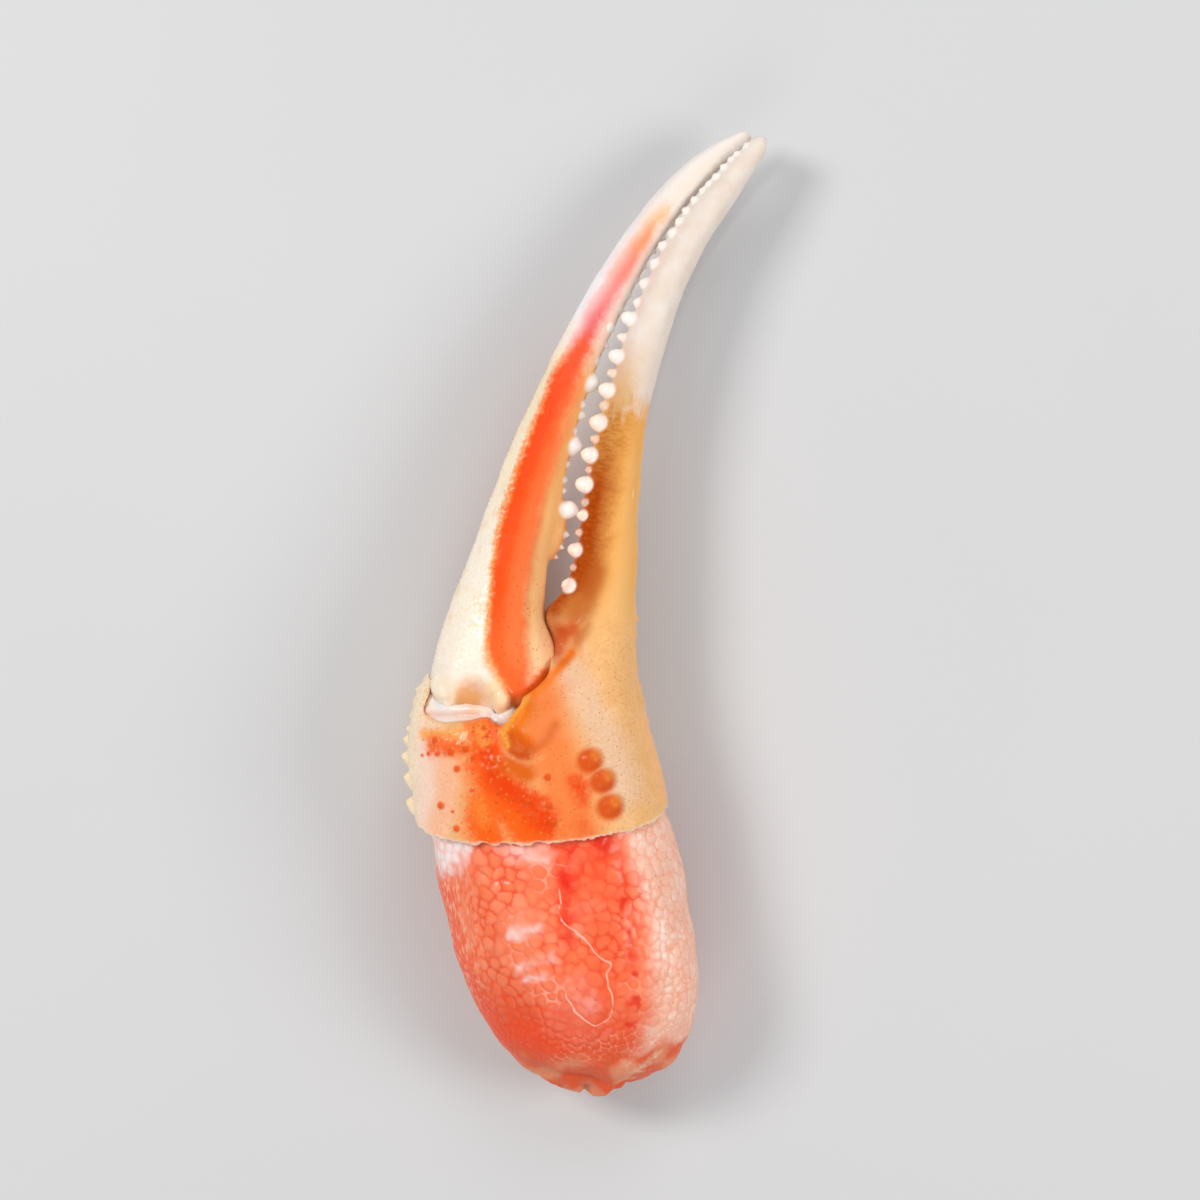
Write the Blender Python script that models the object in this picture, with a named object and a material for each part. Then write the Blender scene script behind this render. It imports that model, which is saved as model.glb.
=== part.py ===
# Cooked snow crab claw, its lower palm shell cut away so that the meat shows.
# It lies on its inner face with the outer face up: +Z is up and +Y runs towards the finger tips.
# The numbers below are millimetres; every mesh is scaled to metres as it is finished.
import math
import random

import bmesh
import bpy
from mathutils import Matrix, Vector
from mathutils.bvhtree import BVHTree

MM = 0.001
CLAW_LENGTH = 110.2  # meat end to finger tip
DRAWN_LENGTH = 110.2  # length at which the stations below are written
SIZE = CLAW_LENGTH / DRAWN_LENGTH
GAP = 0.3  # clearance between pieces that touch
SHELL_WALL = 0.9  # thickness of the palm shell
MID_Z = 10.3  # height of the palm's middle above the table
SEED = 7

# A station is one cross-section: left edge (x, y), right edge (x, y), height of its middle, half its thickness.
PALM_STATIONS = [
    (-14.4, -34.0, 13.9, -28.6, MID_Z, 9.8),
    (-15.9, -28.9, 12.6, -24.0, MID_Z, 10.3),
    (-17.2, -25.0, 11.5, -21.0, MID_Z, 10.5),
    (-18.0, -21.2, 10.3, -18.0, MID_Z, 10.5),
    (-18.3, -17.6, 9.0, -15.2, MID_Z, 10.0),
    (-18.1, -14.4, 7.7, -12.4, MID_Z, 9.2),
    (-17.0, -11.4, 6.4, -9.4, MID_Z, 8.1),
    (-12.6, -8.6, 4.4, -6.6, MID_Z, 6.2),
    (-8.0, -6.8, 1.0, -5.6, MID_Z, 3.4),
]
FIXED_FINGER_STATIONS = [
    (-5.6, -19.0, 7.0, -17.6, MID_Z, 4.0),
    (-6.6, -13.6, 8.0, -13.4, MID_Z, 7.6),
    (-4.6, -9.2, 6.3, -9.6, MID_Z, 7.0),
    (-2.9, -5.0, 5.1, -5.6, MID_Z, 5.9),
    (-4.4, -0.2, 4.2, -1.0, MID_Z, 4.9),
    (-3.8, 5.2, 3.4, 4.8, 10.4, 4.2),
    (-3.7, 11.0, 2.6, 10.6, 10.4, 3.8),
    (-3.7, 17.0, 2.15, 16.6, 10.3, 3.5),
    (-3.4, 23.0, 2.0, 22.4, 10.1, 3.3),
    (-2.7, 29.0, 2.35, 28.2, 9.8, 3.1),
    (-1.6, 34.8, 3.1, 33.4, 9.5, 2.9),
    (-0.2, 40.4, 4.2, 38.8, 9.1, 2.6),
    (2.4, 45.9, 5.9, 44.4, 8.7, 2.2),
    (5.4, 50.8, 7.9, 49.6, 8.2, 1.6),
    (8.5, 54.9, 9.4, 54.5, 7.8, 0.8),
]
DACTYL_STATIONS = [
    (-15.6, -15.0, -8.2, -14.8, MID_Z, 3.4),
    (-17.2, -13.4, -6.2, -12.4, MID_Z, 5.0),
    (-17.5, -10.6, -4.4, -8.6, MID_Z, 5.7),
    (-17.2, -6.8, -4.9, -4.8, MID_Z, 5.6),
    (-16.5, -2.6, -6.2, -1.0, MID_Z, 5.2),
    (-15.5, 2.4, -6.9, 3.4, 10.2, 4.7),
    (-14.6, 8.6, -6.95, 9.0, 10.1, 4.2),
    (-13.2, 15.2, -6.95, 15.2, 9.8, 3.8),
    (-11.4, 22.0, -6.5, 21.4, 9.4, 3.4),
    (-9.3, 29.0, -5.1, 27.6, 8.8, 3.1),
    (-6.7, 36.2, -3.2, 34.6, 8.1, 2.8),
    (-3.7, 43.0, -0.6, 41.4, 7.4, 2.4),
    (-0.1, 49.0, 2.1, 47.4, 6.9, 1.9),
    (3.4, 52.8, 4.9, 51.6, 6.5, 1.3),
    (7.0, 55.1, 7.5, 54.6, 6.3, 0.6),
]
MEAT_STATIONS = [
    (-11.5, -22.2, 3.4, -16.0, MID_Z, 3.6),
    (-14.6, -23.6, 7.4, -17.4, MID_Z, 7.2),
    (-14.9, -25.8, 9.6, -20.2, MID_Z, 8.6),
    (-14.4, -28.6, 11.9, -23.4, MID_Z, 9.2),
    (-13.4, -32.2, 14.4, -28.2, 10.1, 9.6),
    (-12.1, -36.0, 16.2, -33.2, 9.8, 10.0),
    (-10.3, -40.0, 17.9, -38.2, 9.6, 10.0),
    (-8.2, -44.2, 18.7, -43.2, 9.2, 9.5),
    (-5.8, -48.2, 18.4, -47.4, 8.6, 8.6),
    (-3.2, -51.4, 16.8, -50.9, 8.0, 7.2),
    (-0.4, -53.4, 14.4, -53.0, 7.7, 5.2),
    (3.4, -54.4, 11.4, -54.2, 7.5, 2.8),
]
PALM_POWER = 2.25  # 2 is an ellipse; more is squarer
FINGER_POWER = 2.15
MEAT_POWER = 2.3
DACTYL_KEEL = (112, 0.12, 22)  # a lengthwise ridge: degrees round from the right edge, height share, spread

# The flat saw cut through the palm shell, from its left edge to its right edge, leaning with its top outwards.
CUT_LEFT = Vector((-16.3, -27.9, MID_Z))
CUT_RIGHT = Vector((11.6, -21.2, MID_Z))
CUT_LEAN = 19.0

# The palm's rim round the moving finger, seen from above, left to right; the mouth lies above it.
RIM = [
    (-21.0, -16.4),
    (-17.6, -17.8),
    (-12.6, -17.0),
    (-10.4, -15.9),
    (-9.2, -16.8),
    (-8.1, -16.6),
    (-7.3, -14.8),
    (-6.4, -12.6),
    (-4.8, -10.8),
    (-2.7, -7.9),
    (-2.3, -5.4),
    (-5.4, -3.4),
]
RIM_LEAN = 5.0  # how much further up the claw the rim's left part is on the inner face
LIP = [(-8.4, -16.9), (-7.3, -15.4), (-6.2, -13.0), (-4.6, -11.0), (-2.5, -8.0), (-1.6, -5.4)]
LIP_RADII = [1.0, 1.5, 1.4, 0.9, 0.7, 0.4]
PLUG_CENTRE = Vector((-10.4, -15.0, MID_Z))
PLUG_HALF = Vector((12.5, 5.0, 9.0))
PLUG_SLANT = 24  # degrees that the plug of joint skin climbs towards the fixed finger

# Swellings at the moving finger's root: middle, the way it points, radius, length. Two are its hinge knobs.
ROOT_LUMPS = [
    ((-9.9, -13.0, 15.6), (0.42, -0.8, 0.35), 1.25, 3.0),
    ((-9.9, -10.4, 5.2), (0.42, -0.8, -0.35), 1.25, 2.6),
    ((-13.9, -12.0, 14.2), (-0.1, -0.45, 0.85), 2.3, 1.9),
]

# Rounded pimples on the outer face (x, y, radius) and the matching ones on the inner face.
OUTER_PIMPLES = [
    (2.2, -17.6, 1.2),
    (4.1, -19.7, 1.35),
    (5.2, -22.2, 1.35),
    (-15.6, -19.0, 0.55),
    (-16.2, -20.6, 0.45),
    (-13.7, -19.8, 0.6),
    (-12.1, -19.0, 0.7),
    (-10.2, -17.4, 0.9),
    (-12.6, -21.4, 0.5),
    (-8.6, -19.6, 0.7),
    (-10.4, -23.4, 0.45),
    (-13.5, -26.0, 0.6),
    (-11.6, -27.6, 0.5),
    (-2.5, -20.6, 0.55),
    (-4.6, -23.4, 0.75),
    (-1.8, -23.8, 0.6),
    (-1.0, -25.4, 0.55),
]
INNER_PIMPLES = [
    (1.6, -12.6, 0.9),
    (3.4, -15.2, 1.0),
    (4.4, -18.0, 0.9),
    (-13.6, -18.6, 0.6),
    (-15.2, -20.4, 0.55),
    (-10.6, -19.4, 0.6),
]
SPINES_FROM, SPINES_TO, SPINE_COUNT = 0.17, 0.54, 7  # along the palm's left margin
SPINE_RADIUS, SPINE_LENGTH = 0.7, 1.35


def clear_scene():
    for obj in list(bpy.data.objects):
        bpy.data.objects.remove(obj, do_unlink=True)


def new_collection(name):
    collection = bpy.data.collections.new(name)
    bpy.context.scene.collection.children.link(collection)
    return collection


def finish(name, colour, roughness):
    material = bpy.data.materials.new(name)
    material.use_nodes = True
    shader = material.node_tree.nodes["Principled BSDF"]
    shader.inputs["Base Color"].default_value = (*colour, 1.0)
    shader.inputs["Roughness"].default_value = roughness
    shader.inputs["Metallic"].default_value = 0.0
    return material


def between(rows, t):
    """The row at t, from 0 to 1, on a smooth curve through the rows."""
    place = min(max(t, 0.0), 1.0) * (len(rows) - 1)
    i = min(int(place), len(rows) - 2)
    u = place - i
    a, b, c, d = rows[max(i - 1, 0)], rows[i], rows[i + 1], rows[min(i + 2, len(rows) - 1)]
    return [
        q + 0.5 * u * (r - p + u * (2 * p - 5 * q + 4 * r - s + u * (3 * (q - r) + s - p)))
        for p, q, r, s in zip(a, b, c, d)
    ]


def ends(row):
    """A section's left edge, right edge and middle."""
    left, right = Vector((row[0], row[1], row[4])), Vector((row[2], row[3], row[4]))
    return left, right, (left + right) / 2


def section_point(row, angle, power, keel, grow):
    """A point on one cross-section. Angle 0 is its right edge, 90 its top and 180 its left edge, in degrees."""
    left, right, middle = ends(row)
    across = (right - left) / 2
    across *= 1 + grow / across.length
    cosine, sine = math.cos(math.radians(angle)), math.sin(math.radians(angle))
    reach = 1.0
    if keel:
        at, height, spread = keel
        reach += height * math.exp(-(((angle - at) / spread) ** 2))
    along = math.copysign(abs(cosine) ** (2 / power), cosine) * reach
    up = math.copysign(abs(sine) ** (2 / power), sine) * reach
    return middle + across * along + Vector((0, 0, (row[5] + grow) * up))


def new_object(name, bm):
    """The finished mesh as an object, in metres, with its faces pointing out."""
    bm.normal_update()
    bmesh.ops.recalc_face_normals(bm, faces=bm.faces)
    bmesh.ops.scale(bm, vec=Vector((1, 1, 1)) * MM * SIZE, verts=bm.verts)
    mesh = bpy.data.meshes.new(name)
    bm.to_mesh(mesh)
    bm.free()
    obj = bpy.data.objects.new(name, mesh)
    bpy.context.scene.collection.objects.link(obj)
    return obj


def loft(name, rows, sides, rings, power, keel=None, grow=0.0, relief=None):
    """A closed round body through the stations: a ball's circles of latitude, each moved to its section."""
    bm = bmesh.new()
    bmesh.ops.create_uvsphere(bm, u_segments=sides, v_segments=rings, radius=1)
    for vert in bm.verts:
        t = math.acos(max(-1.0, min(1.0, -vert.co.z))) / math.pi
        angle = math.degrees(math.atan2(vert.co.y, vert.co.x)) % 360
        row = between(rows, t)
        if 0.001 < t < 0.999:
            vert.co = section_point(row, angle, power, keel, grow)
        else:  # the ball's poles close the two ends
            middle = ends(row)[2]
            outward = middle - ends(between(rows, abs(t - 0.02)))[2]
            vert.co = middle + outward.normalized() * (row[5] * 0.45 + grow)
        if relief:
            vert.co += relief(vert.co, t, angle)
        vert.co.z = max(vert.co.z, 0.0)
    return new_object(name, bm)


def lump(name, place, out, radius, length, rounds=1):
    """A pimple, tooth or spine: a small ball stretched along the way it points, and narrower at its tip."""
    bm = bmesh.new()
    bmesh.ops.create_icosphere(bm, subdivisions=rounds, radius=1)
    for vert in bm.verts:
        taper = 1 - 0.35 * max(vert.co.z, 0)
        vert.co = Vector((vert.co.x * radius * taper, vert.co.y * radius * taper, vert.co.z * length))
    turn = out.to_track_quat("Z", "Y").to_matrix().to_4x4()
    bmesh.ops.transform(bm, matrix=Matrix.Translation(place) @ turn, verts=bm.verts)
    return new_object(name, bm)


def tube(name, points, radii):
    """A bevelled curve through the points, closed at both ends and made a mesh."""
    data = bpy.data.curves.new(name, "CURVE")
    data.dimensions = "3D"
    data.bevel_depth = MM * SIZE
    data.bevel_resolution = 2
    data.use_fill_caps = True
    data.resolution_u = 4
    spline = data.splines.new("NURBS")
    spline.points.add(len(points) - 1)
    spline.use_endpoint_u = True
    for point, at, radius in zip(spline.points, points, radii):
        point.co = (*(Vector(at) * MM * SIZE), 1)
        point.radius = radius
    curve = bpy.data.objects.new(name + "_line", data)
    bpy.context.scene.collection.objects.link(curve)
    bpy.context.view_layer.update()
    graph = bpy.context.evaluated_depsgraph_get()
    mesh = bpy.data.meshes.new_from_object(curve.evaluated_get(graph))
    bm = bmesh.new()
    bm.from_mesh(mesh)
    bmesh.ops.remove_doubles(bm, verts=bm.verts, dist=1e-6)
    bmesh.ops.recalc_face_normals(bm, faces=bm.faces)
    bm.to_mesh(mesh)
    bm.free()
    obj = bpy.data.objects.new(name, mesh)
    bpy.context.scene.collection.objects.link(obj)
    bpy.data.objects.remove(curve, do_unlink=True)
    return obj


def boolean(obj, operation, others):
    """Applies one Boolean with all the others at once, then removes them."""
    tools = new_collection(obj.name + "_tools")
    for other in others:
        bpy.context.scene.collection.objects.unlink(other)
        tools.objects.link(other)
    modifier = obj.modifiers.new(operation.lower(), "BOOLEAN")
    modifier.operation = operation
    modifier.solver = "MANIFOLD"
    modifier.operand_type = "COLLECTION"
    modifier.collection = tools
    bpy.context.view_layer.update()
    graph = bpy.context.evaluated_depsgraph_get()
    mesh = bpy.data.meshes.new_from_object(obj.evaluated_get(graph))
    obj.modifiers.clear()
    obj.data = mesh
    for other in others:
        bpy.data.objects.remove(other, do_unlink=True)
    bpy.data.collections.remove(tools)


def surface_of(obj):
    """A finder of points on the object's surface, in millimetres."""
    bm = bmesh.new()
    bm.from_mesh(obj.data)
    bmesh.ops.scale(bm, vec=Vector((1, 1, 1)) / (MM * SIZE), verts=bm.verts)
    tree = BVHTree.FromBMesh(bm)
    bm.free()
    return tree


def on_surface(tree, x, y, side):
    """Where a line straight down (side 1) or up (side -1) meets the surface, and its normal there."""
    place, normal, _, _ = tree.ray_cast(Vector((x, y, 40 * side)), Vector((0, 0, -side)))
    return place, normal


def pimples(prefix, spots, tree, side):
    made = []
    for number, (x, y, radius) in enumerate(spots):
        place, normal = on_surface(tree, x, y, side)
        rounds = 2 if radius > 0.8 else 1
        made.append(lump(f"{prefix}{number}", place, normal, radius, radius * 0.75, rounds))
    return made


def teeth(prefix, rows, to_left, span, pitch, size, rng):
    """A row of round teeth along a finger's inner edge: large ones with a small one between, finer to the tip."""
    made = []
    t = span[0]
    while t < span[1]:
        share = (t - span[0]) / (span[1] - span[0])
        left, right, _ = ends(between(rows, t))
        edge, far = (left, right) if to_left else (right, left)
        ahead = ends(between(rows, t + 0.01))[0 if to_left else 1]
        out = (edge - far).normalized()
        radius = (size[0] + (size[1] - size[0]) * share) * rng.uniform(0.9, 1.12)
        rounds = 2 if radius > 0.68 else 1
        if len(made) % 2:
            radius, rounds = radius * 0.62, 1
        place = edge + out * radius * 0.2 + Vector((0, 0, rng.uniform(-0.2, 0.4)))
        made.append(lump(f"{prefix}{len(made)}", place, out, radius, radius * 1.1, rounds))
        t += (pitch[0] + (pitch[1] - pitch[0]) * share) / 2 / ((ahead - edge).length / 0.01)
    return made


def spines(rng):
    """Small thorns down the palm's left margin."""
    made = []
    for number in range(SPINE_COUNT):
        share = number / (SPINE_COUNT - 1)
        left, right, _ = ends(between(PALM_STATIONS, SPINES_FROM + (SPINES_TO - SPINES_FROM) * share))
        place = left + Vector((0.1, 0, 0.9 * math.sin(number * 2.1)))
        out = (left - right).normalized() + Vector((0, 0.3, 0))
        length = SPINE_LENGTH * (0.75 + 0.25 * math.sin(math.pi * share)) * rng.uniform(0.9, 1.1)
        made.append(lump(f"spine{number}", place, out, SPINE_RADIUS, length))
    return made


def mouth_prism():
    """All that lies beyond the palm's rim, from below the table to above the claw."""
    bm = bmesh.new()
    bmesh.ops.create_circle(bm, cap_ends=True, segments=len(RIM) + 2, radius=1)
    outline = [(RIM[-1][0], 2.0), (RIM[0][0], 2.0), *RIM]
    bm.verts.ensure_lookup_table()
    for vert, (x, y) in zip(bm.verts, outline):
        vert.co = (x, y, -1.0)
    top = bmesh.ops.extrude_face_region(bm, geom=bm.faces[:])
    lifted = [item for item in top["geom"] if isinstance(item, bmesh.types.BMVert)]
    bmesh.ops.translate(bm, vec=Vector((0, 0, 2 * MID_Z + 2)), verts=lifted)
    for vert in bm.verts:
        leftness = min(1.0, max(0.0, (-4.0 - vert.co.x) / 11))
        vert.co.y += RIM_LEAN * leftness * max(0.0, 1 - vert.co.z / (2 * MID_Z))
    return new_object("mouth", bm)


def cut_block():
    """Everything below the saw cut."""
    run = CUT_RIGHT - CUT_LEFT
    turn = Matrix.Rotation(math.atan2(run.y, run.x), 4, "Z") @ Matrix.Rotation(math.radians(CUT_LEAN), 4, "X")
    bm = bmesh.new()
    bmesh.ops.create_cube(bm, size=60)
    bmesh.ops.translate(bm, vec=Vector((0, -30, 0)), verts=bm.verts)
    bmesh.ops.transform(bm, matrix=Matrix.Translation((CUT_LEFT + CUT_RIGHT) / 2) @ turn, verts=bm.verts)
    return new_object("cut_block", bm)


def plug_body(name, grow):
    """The lens-shaped space that the joint's skin fills at the palm's mouth."""
    bm = bmesh.new()
    bmesh.ops.create_uvsphere(bm, u_segments=26, v_segments=12, radius=1)
    bmesh.ops.scale(bm, vec=PLUG_HALF + Vector((grow, grow, grow)), verts=bm.verts)
    turn = Matrix.Rotation(math.radians(PLUG_SLANT), 4, "Z")
    bmesh.ops.transform(bm, matrix=Matrix.Translation(PLUG_CENTRE) @ turn, verts=bm.verts)
    return new_object(name, bm)


def palm(name, grow=0.0):
    return loft(name, PALM_STATIONS, 36, 18, PALM_POWER, grow=grow)


def dactyl_body(name, grow=0.0):
    return loft(name, DACTYL_STATIONS, 22, 34, FINGER_POWER, DACTYL_KEEL, grow)


def centre(pieces):
    """Moves the pieces together so that the claw's box stands centred on the origin, on the table."""
    corners = [vert.co for piece in pieces for vert in piece.data.vertices]
    low = Vector(min(corner[axis] for corner in corners) for axis in range(3))
    high = Vector(max(corner[axis] for corner in corners) for axis in range(3))
    shift = Vector((-(low.x + high.x) / 2, -(low.y + high.y) / 2, -low.z))
    for piece in pieces:
        piece.data.transform(Matrix.Translation(shift))


def keep(obj, collection, material):
    """Puts a finished piece in the claw's collection with its own material."""
    bpy.context.scene.collection.objects.unlink(obj)
    collection.objects.link(obj)
    obj.data.materials.clear()
    obj.data.materials.append(material)
    obj.data.shade_smooth()


def root_lumps(prefix, grow=0.0):
    return [
        lump(f"{prefix}{number}", Vector(place), Vector(out), radius + grow, length + grow, 2)
        for number, (place, out, radius, length) in enumerate(ROOT_LUMPS)
    ]


def build_palm_shell():
    """Palm and fixed finger in one shell, hollow over the meat, with its lip, teeth, pimples and spines."""
    rng = random.Random(SEED)
    shell = palm("palm_shell")
    boolean(shell, "UNION", [loft("fixed_finger", FIXED_FINGER_STATIONS, 20, 32, FINGER_POWER)])
    tree = surface_of(shell)
    boolean(shell, "DIFFERENCE", [mouth_prism()])
    lip = [on_surface(tree, x, y, 1)[0] - Vector((0, 0, 0.7 * r)) for (x, y), r in zip(LIP, LIP_RADII)]
    extras = [tube("lip", lip, LIP_RADII)]
    extras += pimples("outer_pimple", OUTER_PIMPLES, tree, 1)
    extras += pimples("inner_pimple", INNER_PIMPLES, tree, -1)
    extras += spines(rng)
    extras += teeth("fixed_tooth", FIXED_FINGER_STATIONS, True, (0.27, 0.95), (3.7, 1.6), (0.9, 0.42), rng)
    boolean(shell, "UNION", extras)
    boolean(shell, "DIFFERENCE", [palm("hollow", -SHELL_WALL)])
    boolean(shell, "DIFFERENCE", [meat_body("meat_room", GAP)])
    boolean(shell, "DIFFERENCE", [cut_block()])
    boolean(shell, "DIFFERENCE", [dactyl_body("dactyl_room", GAP), *root_lumps("knob_room", GAP)])
    return shell


def build_dactyl():
    """The moving finger: a ridge down its outer face, teeth along its inner edge, and its hinge knob."""
    rng = random.Random(SEED + 1)
    dactyl = dactyl_body("dactyl")
    extras = teeth("dactyl_tooth", DACTYL_STATIONS, False, (0.34, 0.93), (3.9, 1.6), (0.78, 0.38), rng)
    extras += root_lumps("root_lump")
    boolean(dactyl, "UNION", extras)
    return dactyl


def meat_relief(point, t, angle):
    """Soft swellings over the meat, and ragged tufts at its torn end."""
    along, turned = t * 9.0, math.radians(angle)
    swell = 0.16 * math.sin(5 * turned + along) + 0.10 * math.sin(3 * turned - 2.3 * along)
    out = Vector((point.x - 3.0, 0, point.z - MID_Z)).normalized()
    bare = min(1.0, max(0.0, (t - 0.36) / 0.05))
    torn = max(0.0, (t - 0.88) / 0.12)
    tuft = torn * (0.45 * math.sin(7 * turned + 1.0) + 0.4 * math.sin(4 * turned + 30 * t))
    return out * swell * bare + Vector((0.1, -1.0, 0)) * tuft


def meat_body(name, grow=0.0):
    """The bare meat below the cut, running on up inside the palm shell."""
    return loft(name, MEAT_STATIONS, 36, 30, MEAT_POWER, grow=grow, relief=meat_relief)


def build_membrane():
    """The joint's skin: it fills the palm's mouth round the moving finger's root."""
    membrane = plug_body("joint_membrane", 0.0)
    boolean(membrane, "INTERSECT", [palm("palm_inside", -SHELL_WALL - GAP)])
    rooms = [dactyl_body("root_room", GAP), *root_lumps("knob_room", GAP), meat_body("meat_room", GAP)]
    boolean(membrane, "DIFFERENCE", rooms)
    return membrane


def main():
    clear_scene()
    shell, dactyl, meat, membrane = build_palm_shell(), build_dactyl(), meat_body("meat"), build_membrane()
    centre([shell, dactyl, meat, membrane])
    claw = new_collection("snow_crab_claw")
    keep(shell, claw, finish("palm_shell", (0.90, 0.42, 0.13), 0.35))
    keep(dactyl, claw, finish("dactyl", (0.90, 0.33, 0.12), 0.35))
    keep(meat, claw, finish("meat", (0.88, 0.28, 0.16), 0.28))
    keep(membrane, claw, finish("joint_membrane", (0.93, 0.74, 0.62), 0.25))


main()
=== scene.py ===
import math
import random

import bmesh
import bpy
import numpy as np
from mathutils import Matrix, Vector, noise
from mathutils.bvhtree import BVHTree
from mathutils.kdtree import KDTree


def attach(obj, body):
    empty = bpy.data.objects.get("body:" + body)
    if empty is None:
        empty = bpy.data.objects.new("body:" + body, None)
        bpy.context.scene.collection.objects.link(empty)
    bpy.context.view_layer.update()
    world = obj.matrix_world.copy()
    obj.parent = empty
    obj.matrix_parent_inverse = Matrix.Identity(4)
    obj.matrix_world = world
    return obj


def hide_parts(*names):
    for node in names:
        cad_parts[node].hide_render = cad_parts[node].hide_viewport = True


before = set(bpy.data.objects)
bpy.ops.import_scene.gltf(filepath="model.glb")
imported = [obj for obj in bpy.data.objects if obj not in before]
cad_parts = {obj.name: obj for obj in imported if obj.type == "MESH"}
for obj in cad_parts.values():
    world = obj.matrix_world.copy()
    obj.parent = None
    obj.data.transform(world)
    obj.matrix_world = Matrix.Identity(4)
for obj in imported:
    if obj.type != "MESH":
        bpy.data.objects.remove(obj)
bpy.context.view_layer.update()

coarse = 1  # drafts take larger voxels
print("frame loaded")

# The claw is drawn in millimetres and set into the frame at the end, outer face up, finger tips towards +Y.
claw = {"shift": (0.37689, 0.20173, 0), "midZ": 10.3, "gap": 0.3, "seed": 11}
midZ = claw["midZ"]

# A station is one cross-section: left edge x, y, right edge x, y, height of its middle, half its thickness.
fingerStations = [
    (-5.6, -19, 7, -17.6, midZ, 4), (-6.6, -13.6, 7.7, -13.4, midZ, 7.6), (-5.2, -9.2, 6.2, -9.6, midZ, 7),
    (-5, -5.8, 5.1, -5.6, midZ, 6), (-6.2, -3, 4.5, -2.2, midZ, 5.2), (-4.3, 0.4, 3.9, 1, 10.3, 4.7),
    (-3.65, 5.2, 3.3, 4.8, 10.4, 4.2), (-3.75, 11, 2.4, 10.6, 10.4, 3.8), (-3.65, 17, 1.8, 16.6, 10.3, 3.5),
    (-3.05, 23, 1.65, 22.4, 10.1, 3.3), (-2.55, 29, 2.1, 28.2, 9.8, 3.1), (-1.5, 34.8, 2.8, 33.6, 9.5, 2.9),
    (-0.05, 40.2, 3.95, 38.9, 9.1, 2.6), (2.4, 45.6, 5.85, 44.3, 8.7, 2.2), (5.3, 50.8, 8.1, 49.5, 8.2, 1.7),
    (8.1, 55.3, 10, 54.4, 7.8, 1),
]
dactylStations = [
    (-16.8, -14.6, -7.3, -17.2, midZ, 5.4), (-17.5, -12.9, -4.8, -14.4, midZ, 6.8),
    (-17.5, -10.4, -3.1, -10.6, midZ, 7.1), (-17.2, -6.8, -3.7, -7.1, midZ, 6.6),
    (-16.5, -2.6, -5.9, -2.9, midZ, 5.8), (-15.45, 2.4, -6.6, 2.8, 10.2, 5), (-14.4, 8.6, -6.25, 8.6, 10.1, 4.4),
    (-13.1, 15.2, -6.4, 15.2, 9.8, 3.9), (-11.3, 22, -5.75, 21.6, 9.4, 3.5), (-9.35, 29, -4.6, 27.9, 8.8, 3.1),
    (-6.95, 36.2, -2.75, 34.5, 8.1, 2.8), (-3.9, 43, -0.5, 41.2, 7.4, 2.4), (-0.3, 49.1, 2.4, 46.9, 6.9, 1.9),
    (3.3, 53.2, 5.2, 51.2, 6.5, 1.4), (6.8, 55.7, 8, 54.5, 6.3, 0.8),
]


def smoothStep(value, low, high):
    share = np.clip((value - low) / (high - low), 0, 1)
    return share * share * (3 - 2 * share)


# values of a row of stations at t from 0 to 1, on a Catmull-Rom curve
def rowsAt(rows, t):
    rows = np.asarray(rows, float)
    place = np.clip(t, 0, 1) * (len(rows) - 1)
    i = np.minimum(place.astype(int), len(rows) - 2)
    u = (place - i)[:, None]
    a, b, c, d = rows[np.maximum(i - 1, 0)], rows[i], rows[i + 1], rows[np.minimum(i + 2, len(rows) - 1)]
    return b + 0.5 * u * (c - a + u * (2 * a - 5 * b + 4 * c - d + u * (3 * (b - c) + d - a)))


def middles(row):
    return np.column_stack([(row[:, 0] + row[:, 2]) / 2, (row[:, 1] + row[:, 3]) / 2, row[:, 4]])


def sectionPoints(rows, t, angle, power, keel, grow):
    row = rowsAt(rows, t)
    half = np.column_stack([row[:, 2] - row[:, 0], row[:, 3] - row[:, 1]]) / 2
    half *= 1 + grow / np.linalg.norm(half, axis=1)[:, None]
    cosine, sine = np.cos(np.radians(angle)), np.sin(np.radians(angle))
    reach = 1 if keel is None else 1 + keel[1] * np.exp(-(((angle - keel[0]) / keel[2]) ** 2))
    along = np.sign(cosine) * np.abs(cosine) ** (2 / power) * reach
    up = np.sign(sine) * np.abs(sine) ** (2 / power) * reach
    points = middles(row)
    points[:, :2] += half * along[:, None]
    points[:, 2] += (row[:, 5] + grow) * up
    return points


def newPiece(name, bm):
    mesh = bpy.data.meshes.new(name)
    bm.to_mesh(mesh)
    bm.free()
    piece = bpy.data.objects.new(name, mesh)
    bpy.context.scene.collection.objects.link(piece)
    return piece


# the places of a piece's points, or their normals
def pointsOf(piece, kind="co"):
    values = np.empty(len(piece.data.vertices) * 3)
    piece.data.vertices.foreach_get(kind, values)
    return values.reshape(-1, 3)


def movePoints(piece, points):
    piece.data.vertices.foreach_set("co", points.ravel())
    piece.data.update()


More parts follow.
